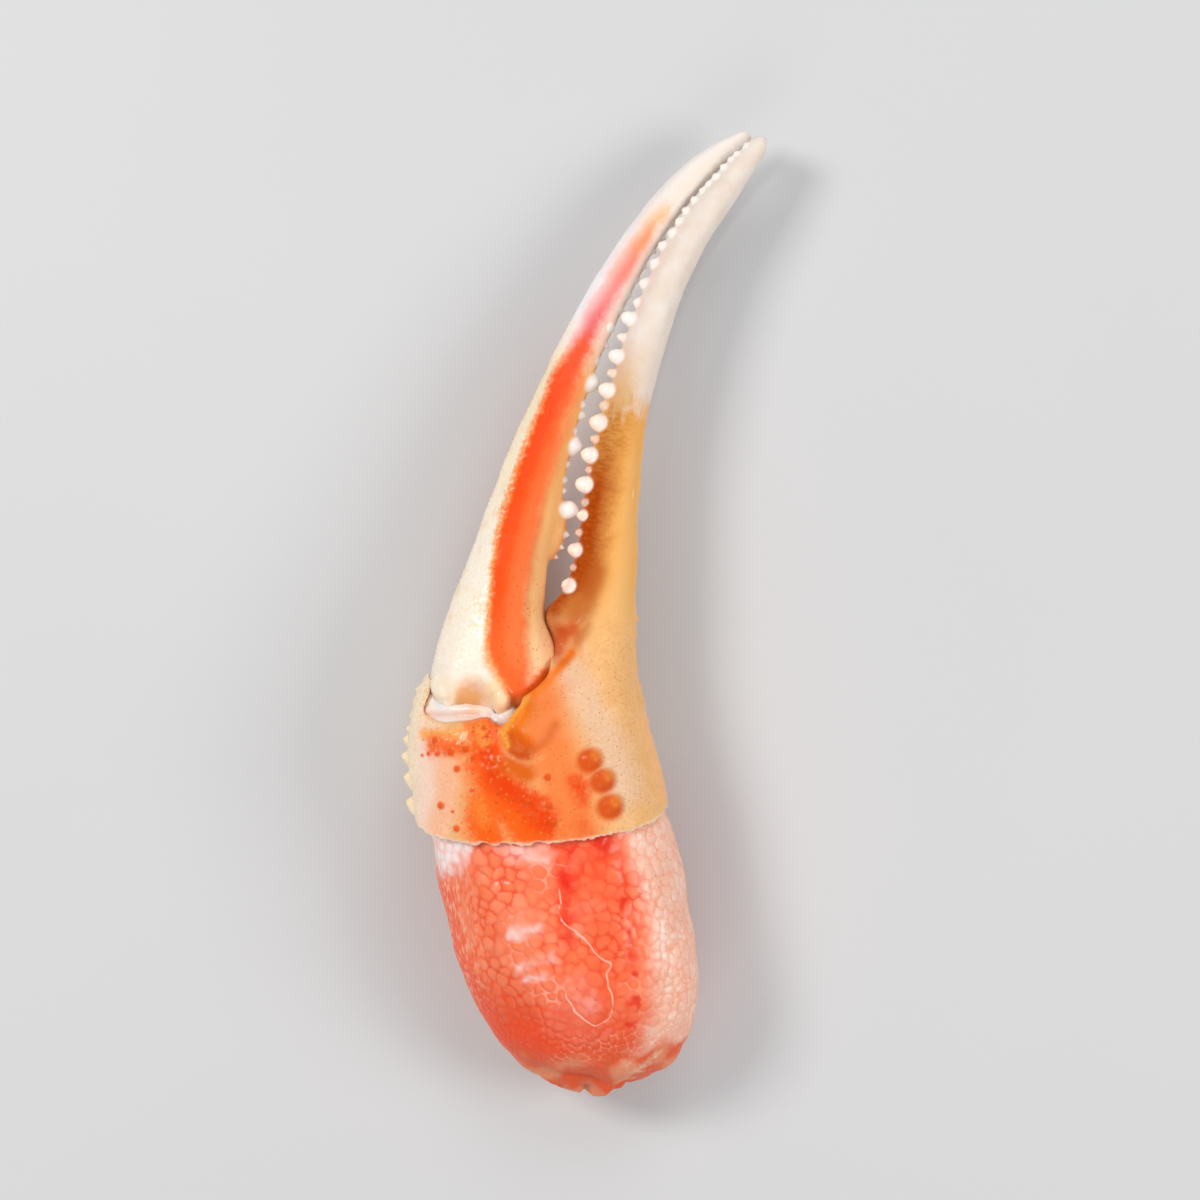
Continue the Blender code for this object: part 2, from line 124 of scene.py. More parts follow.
# a ball whose rings are moved onto the stations, with rounded ends
def loft(name, rows, sides, rings, power, cap, keel=None, grow=0, spread=None, relief=None):
    bm = bmesh.new()
    bmesh.ops.create_uvsphere(bm, u_segments=sides, v_segments=rings, radius=1)
    piece = newPiece(name, bm)
    ball = pointsOf(piece)
    t = np.arccos(np.clip(-ball[:, 2], -1, 1)) / math.pi
    angle = np.degrees(np.arctan2(ball[:, 1], ball[:, 0])) % 360
    if spread:
        t = spread(t)
    inside = np.clip(t, cap, 1 - cap)
    if callable(power):
        power = power(inside)
    points = sectionPoints(rows, inside, angle, power, keel, grow)
    for end, step in ((0, 0.02), (1, 0.98)):
        first, last, inner = (middles(rowsAt(rows, np.array([at])))[0] for at in (abs(end - cap), end, step))
        out = (last - inner) / np.linalg.norm(last - inner)
        pole = last + out * (rows[0 if end == 0 else -1][5] * 0.45 + grow)
        share = np.clip(np.abs(t - end) / cap, 0, 1)
        near = share < 1
        turn = share[near, None] * math.pi / 2
        points[near] = first + (points[near] - first) * np.sin(turn) ** 0.8 + (pole - first) * np.cos(turn)
    if relief:
        points = points + relief(points, t, angle)
    points[:, 2] = np.maximum(points[:, 2], 0)
    movePoints(piece, points)
    faceOut(piece)
    return piece


def faceOut(piece):
    bm = bmesh.new()
    bm.from_mesh(piece.data)
    bmesh.ops.remove_doubles(bm, verts=bm.verts, dist=1e-5)
    bm.normal_update()
    bmesh.ops.recalc_face_normals(bm, faces=bm.faces)
    bm.to_mesh(piece.data)
    bm.free()
    piece.data.update()


# a ball drawn out along one direction, slimmer towards its top
def lump(place, out, radius, length, rounds=3, taper=0.35):
    bm = bmesh.new()
    bmesh.ops.create_icosphere(bm, subdivisions=rounds, radius=1)
    for vert in bm.verts:
        wide = radius * (1 - taper * max(vert.co.z, 0))
        vert.co = Vector((vert.co.x * wide, vert.co.y * wide, vert.co.z * length))
    turn = Vector(out).to_track_quat("Z", "Y").to_matrix().to_4x4()
    bmesh.ops.transform(bm, matrix=Matrix.Translation(place) @ turn, verts=bm.verts)
    return newPiece("lump", bm)


def applied(piece):
    bpy.context.view_layer.update()
    graph = bpy.context.evaluated_depsgraph_get()
    mesh = bpy.data.meshes.new_from_object(piece.evaluated_get(graph))
    piece.modifiers.clear()
    old = piece.data
    piece.data = mesh
    bpy.data.meshes.remove(old)


# joins or cuts with all the others at once, and removes them
def combine(piece, operation, others):
    tools = bpy.data.collections.new(piece.name + "Tools")
    bpy.context.scene.collection.children.link(tools)
    for other in others:
        bpy.context.scene.collection.objects.unlink(other)
        tools.objects.link(other)
    modifier = piece.modifiers.new(operation.lower(), "BOOLEAN")
    modifier.operation = operation
    modifier.solver = "MANIFOLD"
    modifier.operand_type = "COLLECTION"
    modifier.collection = tools
    applied(piece)
    for other in others:
        bpy.data.objects.remove(other, do_unlink=True)
    bpy.data.collections.remove(tools)


# one even skin over the joined shapes, then a few rounds of smoothing
def reskin(piece, voxel, rounds, factor=0.5):
    skin = piece.modifiers.new("skin", "REMESH")
    skin.mode = "VOXEL"
    skin.voxel_size = voxel * coarse
    skin.use_smooth_shade = True
    if rounds:
        soften = piece.modifiers.new("soften", "SMOOTH")
        soften.factor = factor
        soften.iterations = rounds
    applied(piece)


def surfaceOf(piece):
    bm = bmesh.new()
    bm.from_mesh(piece.data)
    tree = BVHTree.FromBMesh(bm)
    bm.free()
    return tree


def lineDistance(points, line):
    best = np.full(len(points), 1e9)
    flat = points[:, :2]
    for a, b in zip(line[:-1], line[1:]):
        a, b = np.array(a[:2], float), np.array(b[:2], float)
        run = b - a
        share = np.clip(((flat - a) @ run) / max(run @ run, 1e-9), 0, 1)
        best = np.minimum(best, np.linalg.norm(flat - a - share[:, None] * run, axis=1))
    return best


# 1 along the line, fading to both sides over the width
def swell(points, line, width):
    return np.exp(-((lineDistance(points, line) / width) ** 2))


def blot(points, spot, width):
    return np.exp(-(((points[:, 0] - spot[0]) ** 2 + (points[:, 1] - spot[1]) ** 2) / width ** 2))


# how far a point lies to the right of a line that climbs in y
def sideOfLine(points, line):
    line = sorted(line, key=lambda spot: spot[1])
    xs, ys = [spot[0] for spot in line], [spot[1] for spot in line]
    here = np.interp(points[:, 1], ys, xs)
    slope = np.interp(points[:, 1] + 0.5, ys, xs) - np.interp(points[:, 1] - 0.5, ys, xs)
    return (points[:, 0] - here) / np.sqrt(1 + slope * slope)


# where each point lies on the stations: t along, distance from the left edge, width and height of the middle
def alongAcross(points, rows, samples=260):
    t = np.linspace(0, 1, samples)
    row = rowsAt(rows, t)
    centre = middles(row)[:, :2].astype(np.float32)
    best = np.empty(len(points), int)
    flat = points[:, :2].astype(np.float32)
    for start in range(0, len(points), 20000):
        part = flat[start:start + 20000]
        best[start:start + 20000] = ((part[:, None, :] - centre[None]) ** 2).sum(2).argmin(1)
    left, right = row[best][:, :2], row[best][:, 2:4]
    width = np.linalg.norm(right - left, axis=1)
    offset = ((points[:, :2] - left) * (right - left)).sum(1) / width
    return t[best], offset, width, row[best][:, 4]


def wobble(points, scale, seed=0):
    return np.array([noise.noise(Vector(p) * scale + Vector((seed, seed * 0.7, -seed))) for p in points])


def mark(piece, **masks):
    for name, values in masks.items():
        layer = piece.data.attributes.new(name, "FLOAT", "POINT")
        layer.data.foreach_set("value", np.asarray(values, np.float32))


# each zone is a list of lines, with how wide each fades and how strong it is
def markZones(piece, zones, points, outer):
    mark(piece, **{name: outer * np.maximum.reduce([share * swell(points, line, wide) for line, wide, share in lines])
                   for name, lines in zones.items()})


# distance to the nearest spot as a share of its radius, seen from above
def spotShare(points, spots, right=0, up=0):
    return np.minimum.reduce([np.hypot(points[:, 0] - x - right, points[:, 1] - y - up) / r for x, y, r in spots])


# picks points at random, no two nearer than the spacing
def scatter(points, chance, spacing, rng, most=6000):
    order = [i for i in range(len(points)) if chance[i] > 0.01]
    rng.shuffle(order)
    spacing = np.broadcast_to(spacing, len(points))
    kept, grid = [], {}
    for i in order:
        if rng.random() > chance[i]:
            continue
        p, gap = points[i], spacing[i]
        key = tuple((p / 2).astype(int))
        near = [q for dx in (-1, 0, 1) for dy in (-1, 0, 1) for dz in (-1, 0, 1)
                for q in grid.get((key[0] + dx, key[1] + dy, key[2] + dz), ())]
        if near and ((np.array(near) - p) ** 2).sum(1).min() < gap * gap:
            continue
        grid.setdefault(key, []).append(p)
        kept.append(i)
        if len(kept) >= most:
            break
    return kept


def treeOf(spots):
    tree = KDTree(len(spots))
    for i, spot in enumerate(spots):
        tree.insert(spot, i)
    tree.balance()
    return tree


# raises small grains at random points, and gives back where they are
def raiseGrains(points, normals, chance, rng, spacing, reach, height):
    tree = treeOf(points[scatter(points, chance, spacing, rng)])
    grain = 1 - smoothStep(np.array([tree.find(p)[2] for p in points]), 0.03, reach)
    points += normals * (height * grain)[:, None]
    return grain


# puts a finished piece into the frame, in metres, gives it its finish, and hides the part that it stands for
def settle(piece, material, node):
    movePoints(piece, (pointsOf(piece) + np.array(claw["shift"])) * 0.001)
    piece.data.materials.clear()
    piece.data.materials.append(material)
    piece.data.shade_smooth()
    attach(piece, "root")
    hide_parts(node)
    piece.data.calc_loop_triangles()
    print(piece.name, "done,", len(piece.data.loop_triangles), "triangles")


palmShell = {
    "stations": [
        (-14.7, -34, 13.7, -28.6, midZ, 9.8), (-16.4, -28.8, 12.4, -24, midZ, 10.3),
        (-17.4, -25, 11.3, -21, midZ, 10.5), (-18.5, -21.2, 10.1, -18, midZ, 10.5),
        (-18.9, -17.6, 8.8, -15.2, midZ, 10), (-18.8, -14.4, 7.5, -12.4, midZ, 9.2),
        (-17.5, -11.4, 6.3, -9.4, midZ, 8.1), (-13.4, -8.6, 4.3, -6.6, midZ, 6.2), (-8, -6.8, 1, -5.6, midZ, 3.4),
    ],
    "sides": 110, "rings": 60, "power": 2.25, "cap": 1 / 18, "firstVoxel": 0.3, "voxel": 0.23,
    "fingerSides": 72, "fingerRings": 130, "fingerPower": 2.15, "fingerCap": 1 / 32, "toothLift": 0.3,
    "wall": 0.9, "hollowCap": 1 / 14, "thickenAtMouth": (0, 0, 0.1, 0.5, 0.9, 0.9, 0.9),
    "grains": {"spacing": 0.7, "reach": 0.3, "height": 0.11},
    "cutLeft": (-16.3, -28.1, midZ), "cutRight": (11.6, -21.2, midZ), "cutLean": 19,
    "rim": [
        (-17, -8), (-17, -12), (-17.1, -15), (-17.5, -16.8), (-17.3, -17.7), (-16.2, -17.8), (-14.8, -17.6),
        (-13.3, -16.9), (-12, -16.4), (-11, -15.9), (-10.1, -15.6), (-9.2, -16), (-8.3, -16), (-7.8, -15.2),
        (-7.4, -14.3), (-6.8, -13.4), (-6.7, -12.6), (-6.1, -12), (-5.2, -10.9), (-4.4, -9.5), (-4.4, -7.8),
        (-5.3, -6.1), (-6.4, -4.5), (-7.3, -3.3),
    ],
    "rimLean": 5,
    # forms of the outer face: height, the line that each follows, and how wide it is
    "relief": [
        (0.85, [(-6.9, -15.6), (-6.3, -13.6)], 1.3),  # lobe beside the hinge
        (0.35, [(-6.7, -16.8), (-5.4, -16.6)], 1.6),
        (-0.55, [(-8.2, -16.8), (-7.8, -17.6), (-7.1, -18.3), (-6, -18.7), (-5, -18.6)], 0.75),  # groove under it
        (-0.25, [(-5, -18.6), (-3.9, -17.8), (-3.1, -16.6), (-2.6, -15.3), (-2.3, -14.4)], 0.7),
        (0.3, [(-6.4, -12.6), (-4.8, -10.9), (-3.1, -8.6), (-2.2, -7), (-1.9, -5.6)], 0.9),  # flange along the mouth
        (-1.1, [(-5.4, -11.6), (-4.4, -10.2), (-3.1, -8.4), (-2.8, -6.6)], 2),
        (0.7, [(-10.2, -17), (-10, -16)], 1.1),  # hump under the joint skin
        (0.3, [(-17, -19.4), (-12.2, -18.8), (-10.4, -18)], 1),
        (0.2, [(-17.6, -18.2), (-12.6, -17.4)], 0.6),
        (-0.3, [(-2.4, -11), (-0.4, -13.5)], 2),
        (-0.15, [(-1.6, 2), (-1.4, 12), (-1.2, 20)], 1.6),
        (-0.7, [(-2.1, -2.4), (-1.6, -0.8)], 1.5),
        (-1, [(-3.9, -5.6), (-3, -4.4)], 1.3),  # web between the fingers
    ],
    "bigStuds": [(2.2, -17.7, 1.25), (4, -19.7, 1.25), (5.3, -22.4, 1.3)],
    "studs": [
        (-15.5, -18.9, 0.46), (-16.7, -20.8, 0.24), (-16, -20.5, 0.28), (-15, -20.3, 0.34), (-13.5, -19.8, 0.46),
        (-11.9, -19.1, 0.5), (-10.9, -19.9, 0.34), (-12.5, -21.5, 0.44), (-10.4, -23.5, 0.3), (-13.6, -25.9, 0.5),
        (-12.2, -26.3, 0.24), (-2.4, -20.6, 0.46), (-1.7, -23.7, 0.48), (-0.9, -25.3, 0.52), (-4.1, -23.5, 0.55),
        (-11.4, -28.1, 0.44), (-8.7, -19.9, 0.28), (-7.8, -19.8, 0.28), (-7.3, -20.4, 0.32), (-8.3, -21, 0.32),
        (-9.3, -18.4, 0.32), (-9.9, -17.2, 0.34), (-10.3, -16.4, 0.34),
    ],
    "backStuds": [
        (1.6, -12.6, 0.8), (3.4, -15.2, 0.9), (4.4, -18, 0.8), (-13.6, -18.6, 0.5), (-15.2, -20.4, 0.45),
        (-10.6, -19.4, 0.5), (-14.6, -24, 0.5),
    ],
    "spines": [
        (-18.2, -12.4, 0.7, 0.5), (-18.8, -13.8, 0.8, 0.55), (-19.05, -15.3, 0.9, 0.7), (-19.1, -16.9, 0.9, 0.7),
        (-19.1, -18.3, 0.8, 0.65), (-19.3, -19.7, 1.1, 0.95), (-19.15, -21.5, 1.25, 1.2), (-18.45, -23.9, 1.35, 1.25),
        (-17.8, -26.7, 1.3, 1.2), (-16.75, -28, 0.6, 0.6),
    ],
    "rightSpines": [
        (4.9, -1.6), (5.05, -3.4), (5.3, -5), (5.75, -6.9), (6.45, -8.9), (7.2, -10.8), (8, -12.8), (8.9, -14.9),
        (9.8, -16.9), (10.6, -18.8),
    ],
    "beads": [
        (-3.9, 0.8, 0.84), (-3.9, 4.9, 0.85), (-3.75, 8.9, 0.64), (-4.15, 12.4, 1), (-4.15, 15.8, 0.96),
        (-3.8, 19.6, 1.02), (-3.5, 23.4, 0.95), (-3.1, 27.4, 0.9), (-2.45, 31.9, 0.88),
    ],
    "smallBeads": [
        (-3.75, 2.9, 0.42), (-3.8, 6.9, 0.46), (-3.7, 10.4, 0.48), (-3.95, 14.1, 0.42), (-3.85, 17.7, 0.56),
        (-3.5, 21.6, 0.6), (-3.25, 25.4, 0.6), (-2.85, 29.65, 0.58),
    ],
    "points": [
        (-2.35, 33.9, 0.85), (-2.05, 36.3, 1), (-1.2, 38.8, 1), (-0.7, 40.9, 0.95), (0.25, 42.6, 0.95),
        (0.85, 44.1, 0.85), (1.35, 45.4, 0.85), (2.1, 46.8, 0.85), (2.85, 47.9, 0.75), (3.5, 48.9, 0.7),
        (4.15, 49.9, 0.8), (4.8, 51.1, 0.75), (5.5, 52.1, 0.65), (6.1, 52.9, 0.65), (7, 53.9, 0.6),
    ],
    # where granules gather: share, line, and how wide each fades
    "grainy": [
        (0.7, [(-9.9, -18.2), (-10.2, -16.2)], 1.1), (0.4, [(-17.2, -18.9), (-12.5, -17.9)], 0.6),
        (0.5, [(-9.2, -19.6), (-7.4, -20.4)], 0.9),
    ],
    # painted zones of the outer face: lines, how wide each fades, and how strong it is
    "zones": {
        "creamLeft": [([(-17.2, -19.8), (-16.4, -23), (-15.6, -27.6)], 3.5, 1)],
        "warmLeft": [([(-13.8, -21.6), (-13.2, -24.4), (-13.5, -28.2)], 1.7, 0.85)],
        "paleRight": [([(-1.9, -9), (0.6, -12), (3.4, -15.4), (6.4, -20.6)], 2.6, 0.9)],
        "peach": [([(-5.2, -12), (-3.2, -16.8), (-0.8, -20.4), (1.6, -25.6)], 3.4, 1)],
        # a painted highlight: a thin pale line along the outer lip of the groove under the lobe
        "channel": [
            ([(-8.5, -16.4), (-8, -17.8), (-7.2, -18.8), (-6, -19.15), (-4.6, -19.1), (-3.2, -18.4)], 0.36, 0.75),
        ],
        "orange": [
            ([(-9.9, -16.4), (-9.4, -20.4), (-7.6, -23.6), (-4.8, -25.8), (-2.6, -27.2)], 3, 1),
            ([(-9, -24.8), (-7.8, -28.4)], 2.6, 1), ([(-15.6, -19.6), (-12.2, -19.2)], 1.4, 0.75),
        ],
        "redOrange": [
            ([(-9.3, -19.2), (-8.2, -21.6), (-5.6, -22.8), (-3.6, -23.8), (-1.4, -25.8)], 1.7, 0.9),
            ([(0.9, -20.4), (1.8, -22.4)], 1.3, 0.6), ([(-9.9, -17), (-9.6, -18.6)], 1, 0.4),
            ([(2, -25), (3.2, -26)], 1.6, 0.35),
        ],
        "lightOrange": [([(-9.6, -24.6), (-8.4, -26.6)], 1.1, 0.6), ([(-10.7, -16.5), (-10.1, -17.9)], 0.9, 0.9)],
        "darkTri": [([(-7.3, -19.8), (-4.8, -20.6)], 1.3, 0.95)],
        "warmRight": [([(7.2, -12.4), (9, -16.4), (10.9, -20.6)], 1.2, 0.7)],
        "goldLobe": [
            ([(-7.1, -15.8), (-6.4, -13.4)], 1.2, 1), ([(-6.8, -16.6), (-5.8, -17.4)], 1.3, 1),
            ([(-5.4, -11.8), (-3.6, -9.2), (-2.2, -6.6)], 0.7, 0.8),
        ],
        # a painted highlight: a light golden line along the lobe's upper left edge
        "lobeEdgeHighlight": [([(-6.3, -12.4), (-7.3, -14.3), (-7.8, -15.6), (-8, -16.7), (-7.4, -18)], 0.5, 0.75)],
        "amberLobe": [([(-6.9, -16.8), (-5.6, -17.7)], 1.2, 0.9)],
        "grooveShade": [
            ([(-7.7, -17.6), (-6.9, -18.4), (-6, -18.8), (-5, -18.7)], 0.6, 0.9),
            ([(-4.6, -18.4), (-3.2, -16.6), (-2.5, -14.8)], 0.8, 0.45),
        ],
        "creamMargin": [([(-18, -11), (-18.7, -15), (-18.8, -18.8), (-18.4, -23), (-17.2, -27.8)], 1.35, 1)],
        "rimBand": [([(-17, -18.4), (-14.8, -18.2), (-12.6, -17.5), (-11.2, -16.8)], 0.8, 0.9)],
        "rootShade": [([(-1.2, 2.6), (-1.6, -0.6), (-2.2, -2.2)], 1.7, 0.9), ([(-1, -3.2), (-1.6, -5.4)], 0.9, 0.6)],
        # the web between the fingers: its own reddish skin, darkened with painted shade for the hollow that it lies
        # in
        "webRedAndShade": [([(-3.9, -6.6), (-3.4, -4.4), (-2.6, -4)], 1.1, 0.9)],
    },
    # the zones' colours, in the order in which they are laid on
    "tints": {
        "paleRight": (238, 200, 163), "warmRight": (252, 190, 130), "creamLeft": (255, 224, 204),
        "warmLeft": (255, 194, 156), "peach": (246, 138, 72), "rimBand": (254, 178, 98),
        "orange": (251, 100, 18), "redOrange": (236, 66, 2), "lightOrange": (254, 146, 62),
        "darkTri": (222, 100, 18), "channel": (240, 160, 96), "goldLobe": (242, 124, 8),
        "amberLobe": (222, 94, 8), "grooveShade": (204, 82, 16), "lobeEdgeHighlight": (250, 176, 74),
        "creamMargin": (255, 236, 206),
    },
    "roughEdged": ("orange", "redOrange", "lightOrange"),
    "wet": {"orange": 0.06, "rimBand": 0.25, "grain": 0.45, "goldLobe": 0.12, "studDark": 0.12, "studRing": 0.12},
}


# a wall that follows the mouth's rim, leaning back towards the under side
def bandPrism(name, line, low, high, lean):
    smooth = [rowsAt(line, np.array([t]))[0] for t in np.linspace(0, 1, len(line) * 4)]
    outline = [(smooth[-1][0], 2), (smooth[0][0], 2), *smooth]
    bm = bmesh.new()
    bmesh.ops.create_circle(bm, cap_ends=True, segments=len(outline), radius=1)
    bm.verts.ensure_lookup_table()
    for vert, (x, y) in zip(bm.verts, outline):
        vert.co = (x, y, low)
    steps = 8
    faces = bm.faces[:]
    for step in range(steps):
        lifted = bmesh.ops.extrude_face_region(bm, geom=faces)
        verts = [item for item in lifted["geom"] if isinstance(item, bmesh.types.BMVert)]
        if step:
            bmesh.ops.delete(bm, geom=faces, context="FACES_ONLY")
        faces = [item for item in lifted["geom"] if isinstance(item, bmesh.types.BMFace)]
        bmesh.ops.translate(bm, vec=Vector((0, 0, (high - low) / steps)), verts=verts)
    for vert in bm.verts:
        leftness = min(1, max(0, (-4 - vert.co.x) / 11))
        vert.co.y += lean * leftness * max(0, 1 - vert.co.z / (2 * midZ)) * (vert.co.y < 0)
    piece = newPiece(name, bm)
    faceOut(piece)
    return piece


def cutPlane(p):
    left, right = Vector(p["cutLeft"]), Vector(p["cutRight"])
    run = right - left
    turn = Matrix.Rotation(math.atan2(run.y, run.x), 4, "Z") @ Matrix.Rotation(math.radians(p["cutLean"]), 4, "X")
    return (left + right) / 2, turn


def cutBlock(p):
    centre, turn = cutPlane(p)
    bm = bmesh.new()
    bmesh.ops.create_cube(bm, size=60)
    bmesh.ops.translate(bm, vec=Vector((0, -30, 0)), verts=bm.verts)
    bmesh.ops.transform(bm, matrix=Matrix.Translation(centre) @ turn, verts=bm.verts)
    return newPiece("cutBlock", bm)


def palmLoft(name, grow=0):
    p = palmShell
    return loft(name, p["stations"], p["sides"], p["rings"], p["power"], p["cap"], grow=grow)


# the room inside the palm, which ends below the fixed finger's root
def hollowLoft(name, grow):
    p = palmShell
    rows = [(*row[:5], row[5] - less) for row, less in zip(p["stations"], p["thickenAtMouth"])]
    return loft(name, rows, p["sides"], p["rings"], p["power"], p["hollowCap"], grow=grow)


def studLumps(spots, tree, side, height):
    made = []
    for x, y, radius in spots:
        place, normal, _, _ = tree.ray_cast(Vector((x, y, 40 * side)), Vector((0, 0, -side)))
        made.append(lump(place, normal, radius, radius * height))
    return made


# a tooth is either a bead on a short stem, or a point that grows out of the finger's edge
def toothLumps(spots, rows, side, lift, bead, rng):
    made = []
    samples = rowsAt(rows, np.linspace(0, 1, 300))
    edge, far = (samples[:, 0:2], samples[:, 2:4]) if side < 0 else (samples[:, 2:4], samples[:, 0:2])
    for x, y, radius in spots:
        i = int(((edge - np.array((x, y))) ** 2).sum(1).argmin())
        out = (edge[i] - far[i]) / np.linalg.norm(edge[i] - far[i])
        z = samples[i, 4] + lift + rng.uniform(-0.15, 0.2)
        foot, spot = Vector((*(edge[i] - out * (0.45 if bead else 0.3)), z)), Vector((x, y, z + 0.1))
        reach = spot - foot
        if bead:
            made.append(lump(spot, (out[0], out[1], 0.1), radius, radius * 1.08, 3, 0.2))
            made.append(lump(foot.lerp(spot, 0.4), reach, radius * 1.02, reach.length * 0.45 + radius * 0.75, 2, 0))
        else:
            made.append(lump(foot, reach, radius, reach.length))
    return made


def buildPalmShell():
    p = palmShell
    rng = random.Random(claw["seed"])
    shell = palmLoft("palmShell")
    finger = loft("fixedFinger", fingerStations, p["fingerSides"], p["fingerRings"], p["fingerPower"], p["fingerCap"])
    combine(shell, "UNION", [finger])
    reskin(shell, p["firstVoxel"], 6)
    points, normals = pointsOf(shell), pointsOf(shell, "normal")
    outer = smoothStep(points[:, 2] - midZ, 0, 3)
    height = sum(high * swell(points, line, wide) for high, line, wide in p["relief"])
    low = wobble(points, 0.22, 3.1) * 0.16 + wobble(points, 0.6, 9) * 0.04
    movePoints(shell, points + normals * (height * outer + low)[:, None])
    tree = surfaceOf(shell)
    combine(shell, "DIFFERENCE", [bandPrism("mouth", p["rim"], -1, 2 * midZ + 2, p["rimLean"])])
    extras = studLumps(p["bigStuds"], tree, 1, 0.5) + studLumps(p["studs"], tree, 1, 1)
    extras += studLumps(p["backStuds"], tree, -1, 0.6)
    for number, (x, y, radius, out) in enumerate(p["spines"]):
        foot = (x + out, y, midZ + 0.7 * math.sin(number * 2.1))
        extras.append(lump(foot, (-1, rng.uniform(-0.1, 0.25), 0.1), radius, out + 0.15, 3, 0.6))
    for number, (x, y) in enumerate(p["rightSpines"]):
        foot = (x - 0.45, y, midZ + 0.5 * math.sin(number * 1.7))
        extras.append(lump(foot, (1, 0.3, 0.1), 0.3, 0.4, 2, 0.5))
    extras += toothLumps(p["beads"] + p["smallBeads"], fingerStations, -1, p["toothLift"], True, rng)
    extras += toothLumps(p["points"], fingerStations, -1, p["toothLift"], False, rng)
    combine(shell, "UNION", extras)
    rooms = [hollowLoft("hollow", -p["wall"])], [meatLoft("meatRoom", 90, 90, claw["gap"])], [cutBlock(p)]
    for tools in (*rooms, [dactylLoft("dactylRoom", 72, 120, 0.03), *rootLumps(0.05)]):
        combine(shell, "DIFFERENCE", tools)
    reskin(shell, p["voxel"], 2)
    paintPalm(shell)
    return shell


def paintPalm(shell):
    p = palmShell
    rng = random.Random(claw["seed"] + 1)
    points, normals = pointsOf(shell), pointsOf(shell, "normal")
    _, offset, width, middle = alongAcross(points, fingerStations)
    onFinger = smoothStep(points[:, 1], -8, 0)
    margin = 3.4 * smoothStep(-points[:, 0], 15, 17.4) * (points[:, 1] < -9)
    outer = smoothStep(points[:, 2] - midZ * (1 - onFinger) - middle * onFinger + margin, -2.2, 2.2)
    centre, turn = cutPlane(p)
    cutOut = np.array(turn.to_3x3() @ Vector((0, 1, 0)))
    cut = (points - np.array(centre)) @ cutOut
    # granules on the hump, under the rim and down the left margin
    grainy = sum(share * swell(points, line, wide) for share, line, wide in p["grainy"])
    grainy = np.clip(grainy + 0.35 * smoothStep(-points[:, 0], 16.8, 18.2), 0, 1)
    grain = raiseGrains(points, normals, grainy * (cut > 0.6) * (points[:, 1] < -11.5) * 0.5, rng, **p["grains"])
    # the broken edge where the shell was cut off
    chips = (wobble(points, 0.7, 4) * 0.4 + wobble(points, 2.4, 1) * 0.2) * (1 - smoothStep(cut, 0, 0.7))
    points += cutOut[None] * chips[:, None]
    points[:, 2] = np.maximum(points[:, 2], 0)
    movePoints(shell, points)
    markZones(shell, p["zones"], points, outer)
    x, y = points[:, 0], points[:, 1]
    margin = np.interp(y, [-29, -25, -22.5, -20.5, -17], [16.3, 17.1, 17.8, 18.5, 18.6])
    white, golden = spotShare(points, p["beads"] + p["points"]), spotShare(points, p["smallBeads"])
    mark(
        shell, grain=grain, outer=outer, cutEdge=1 - smoothStep(cut, 0.1, 0.45),
        studDark=outer * (1 - smoothStep(spotShare(points, p["studs"]), 0.6, 1.2)),
        # big studs: the ring, partly their own deeper orange, is set towards the lower left as painted shade; the
        # lighter top, set towards the upper right, is a painted highlight
        studRing=outer * (1 - smoothStep(spotShare(points, p["bigStuds"], -0.3, -0.35), 0.8, 1.5)),
        studTop=outer * (1 - smoothStep(spotShare(points, p["bigStuds"], 0.35, 0.5), 0.2, 0.85)),
        spine=smoothStep(-x - margin, 0, 0.6) * (y < -11),
        fingerUp=y - 0.35 * (x - 1), fingerIn=offset, fingerOut=width - offset,
        tooth=np.maximum(1 - smoothStep(white, 0.85, 1.25), 0.6 * (1 - smoothStep(golden, 0.7, 1.2))),
    )
    print("palm shell painted")


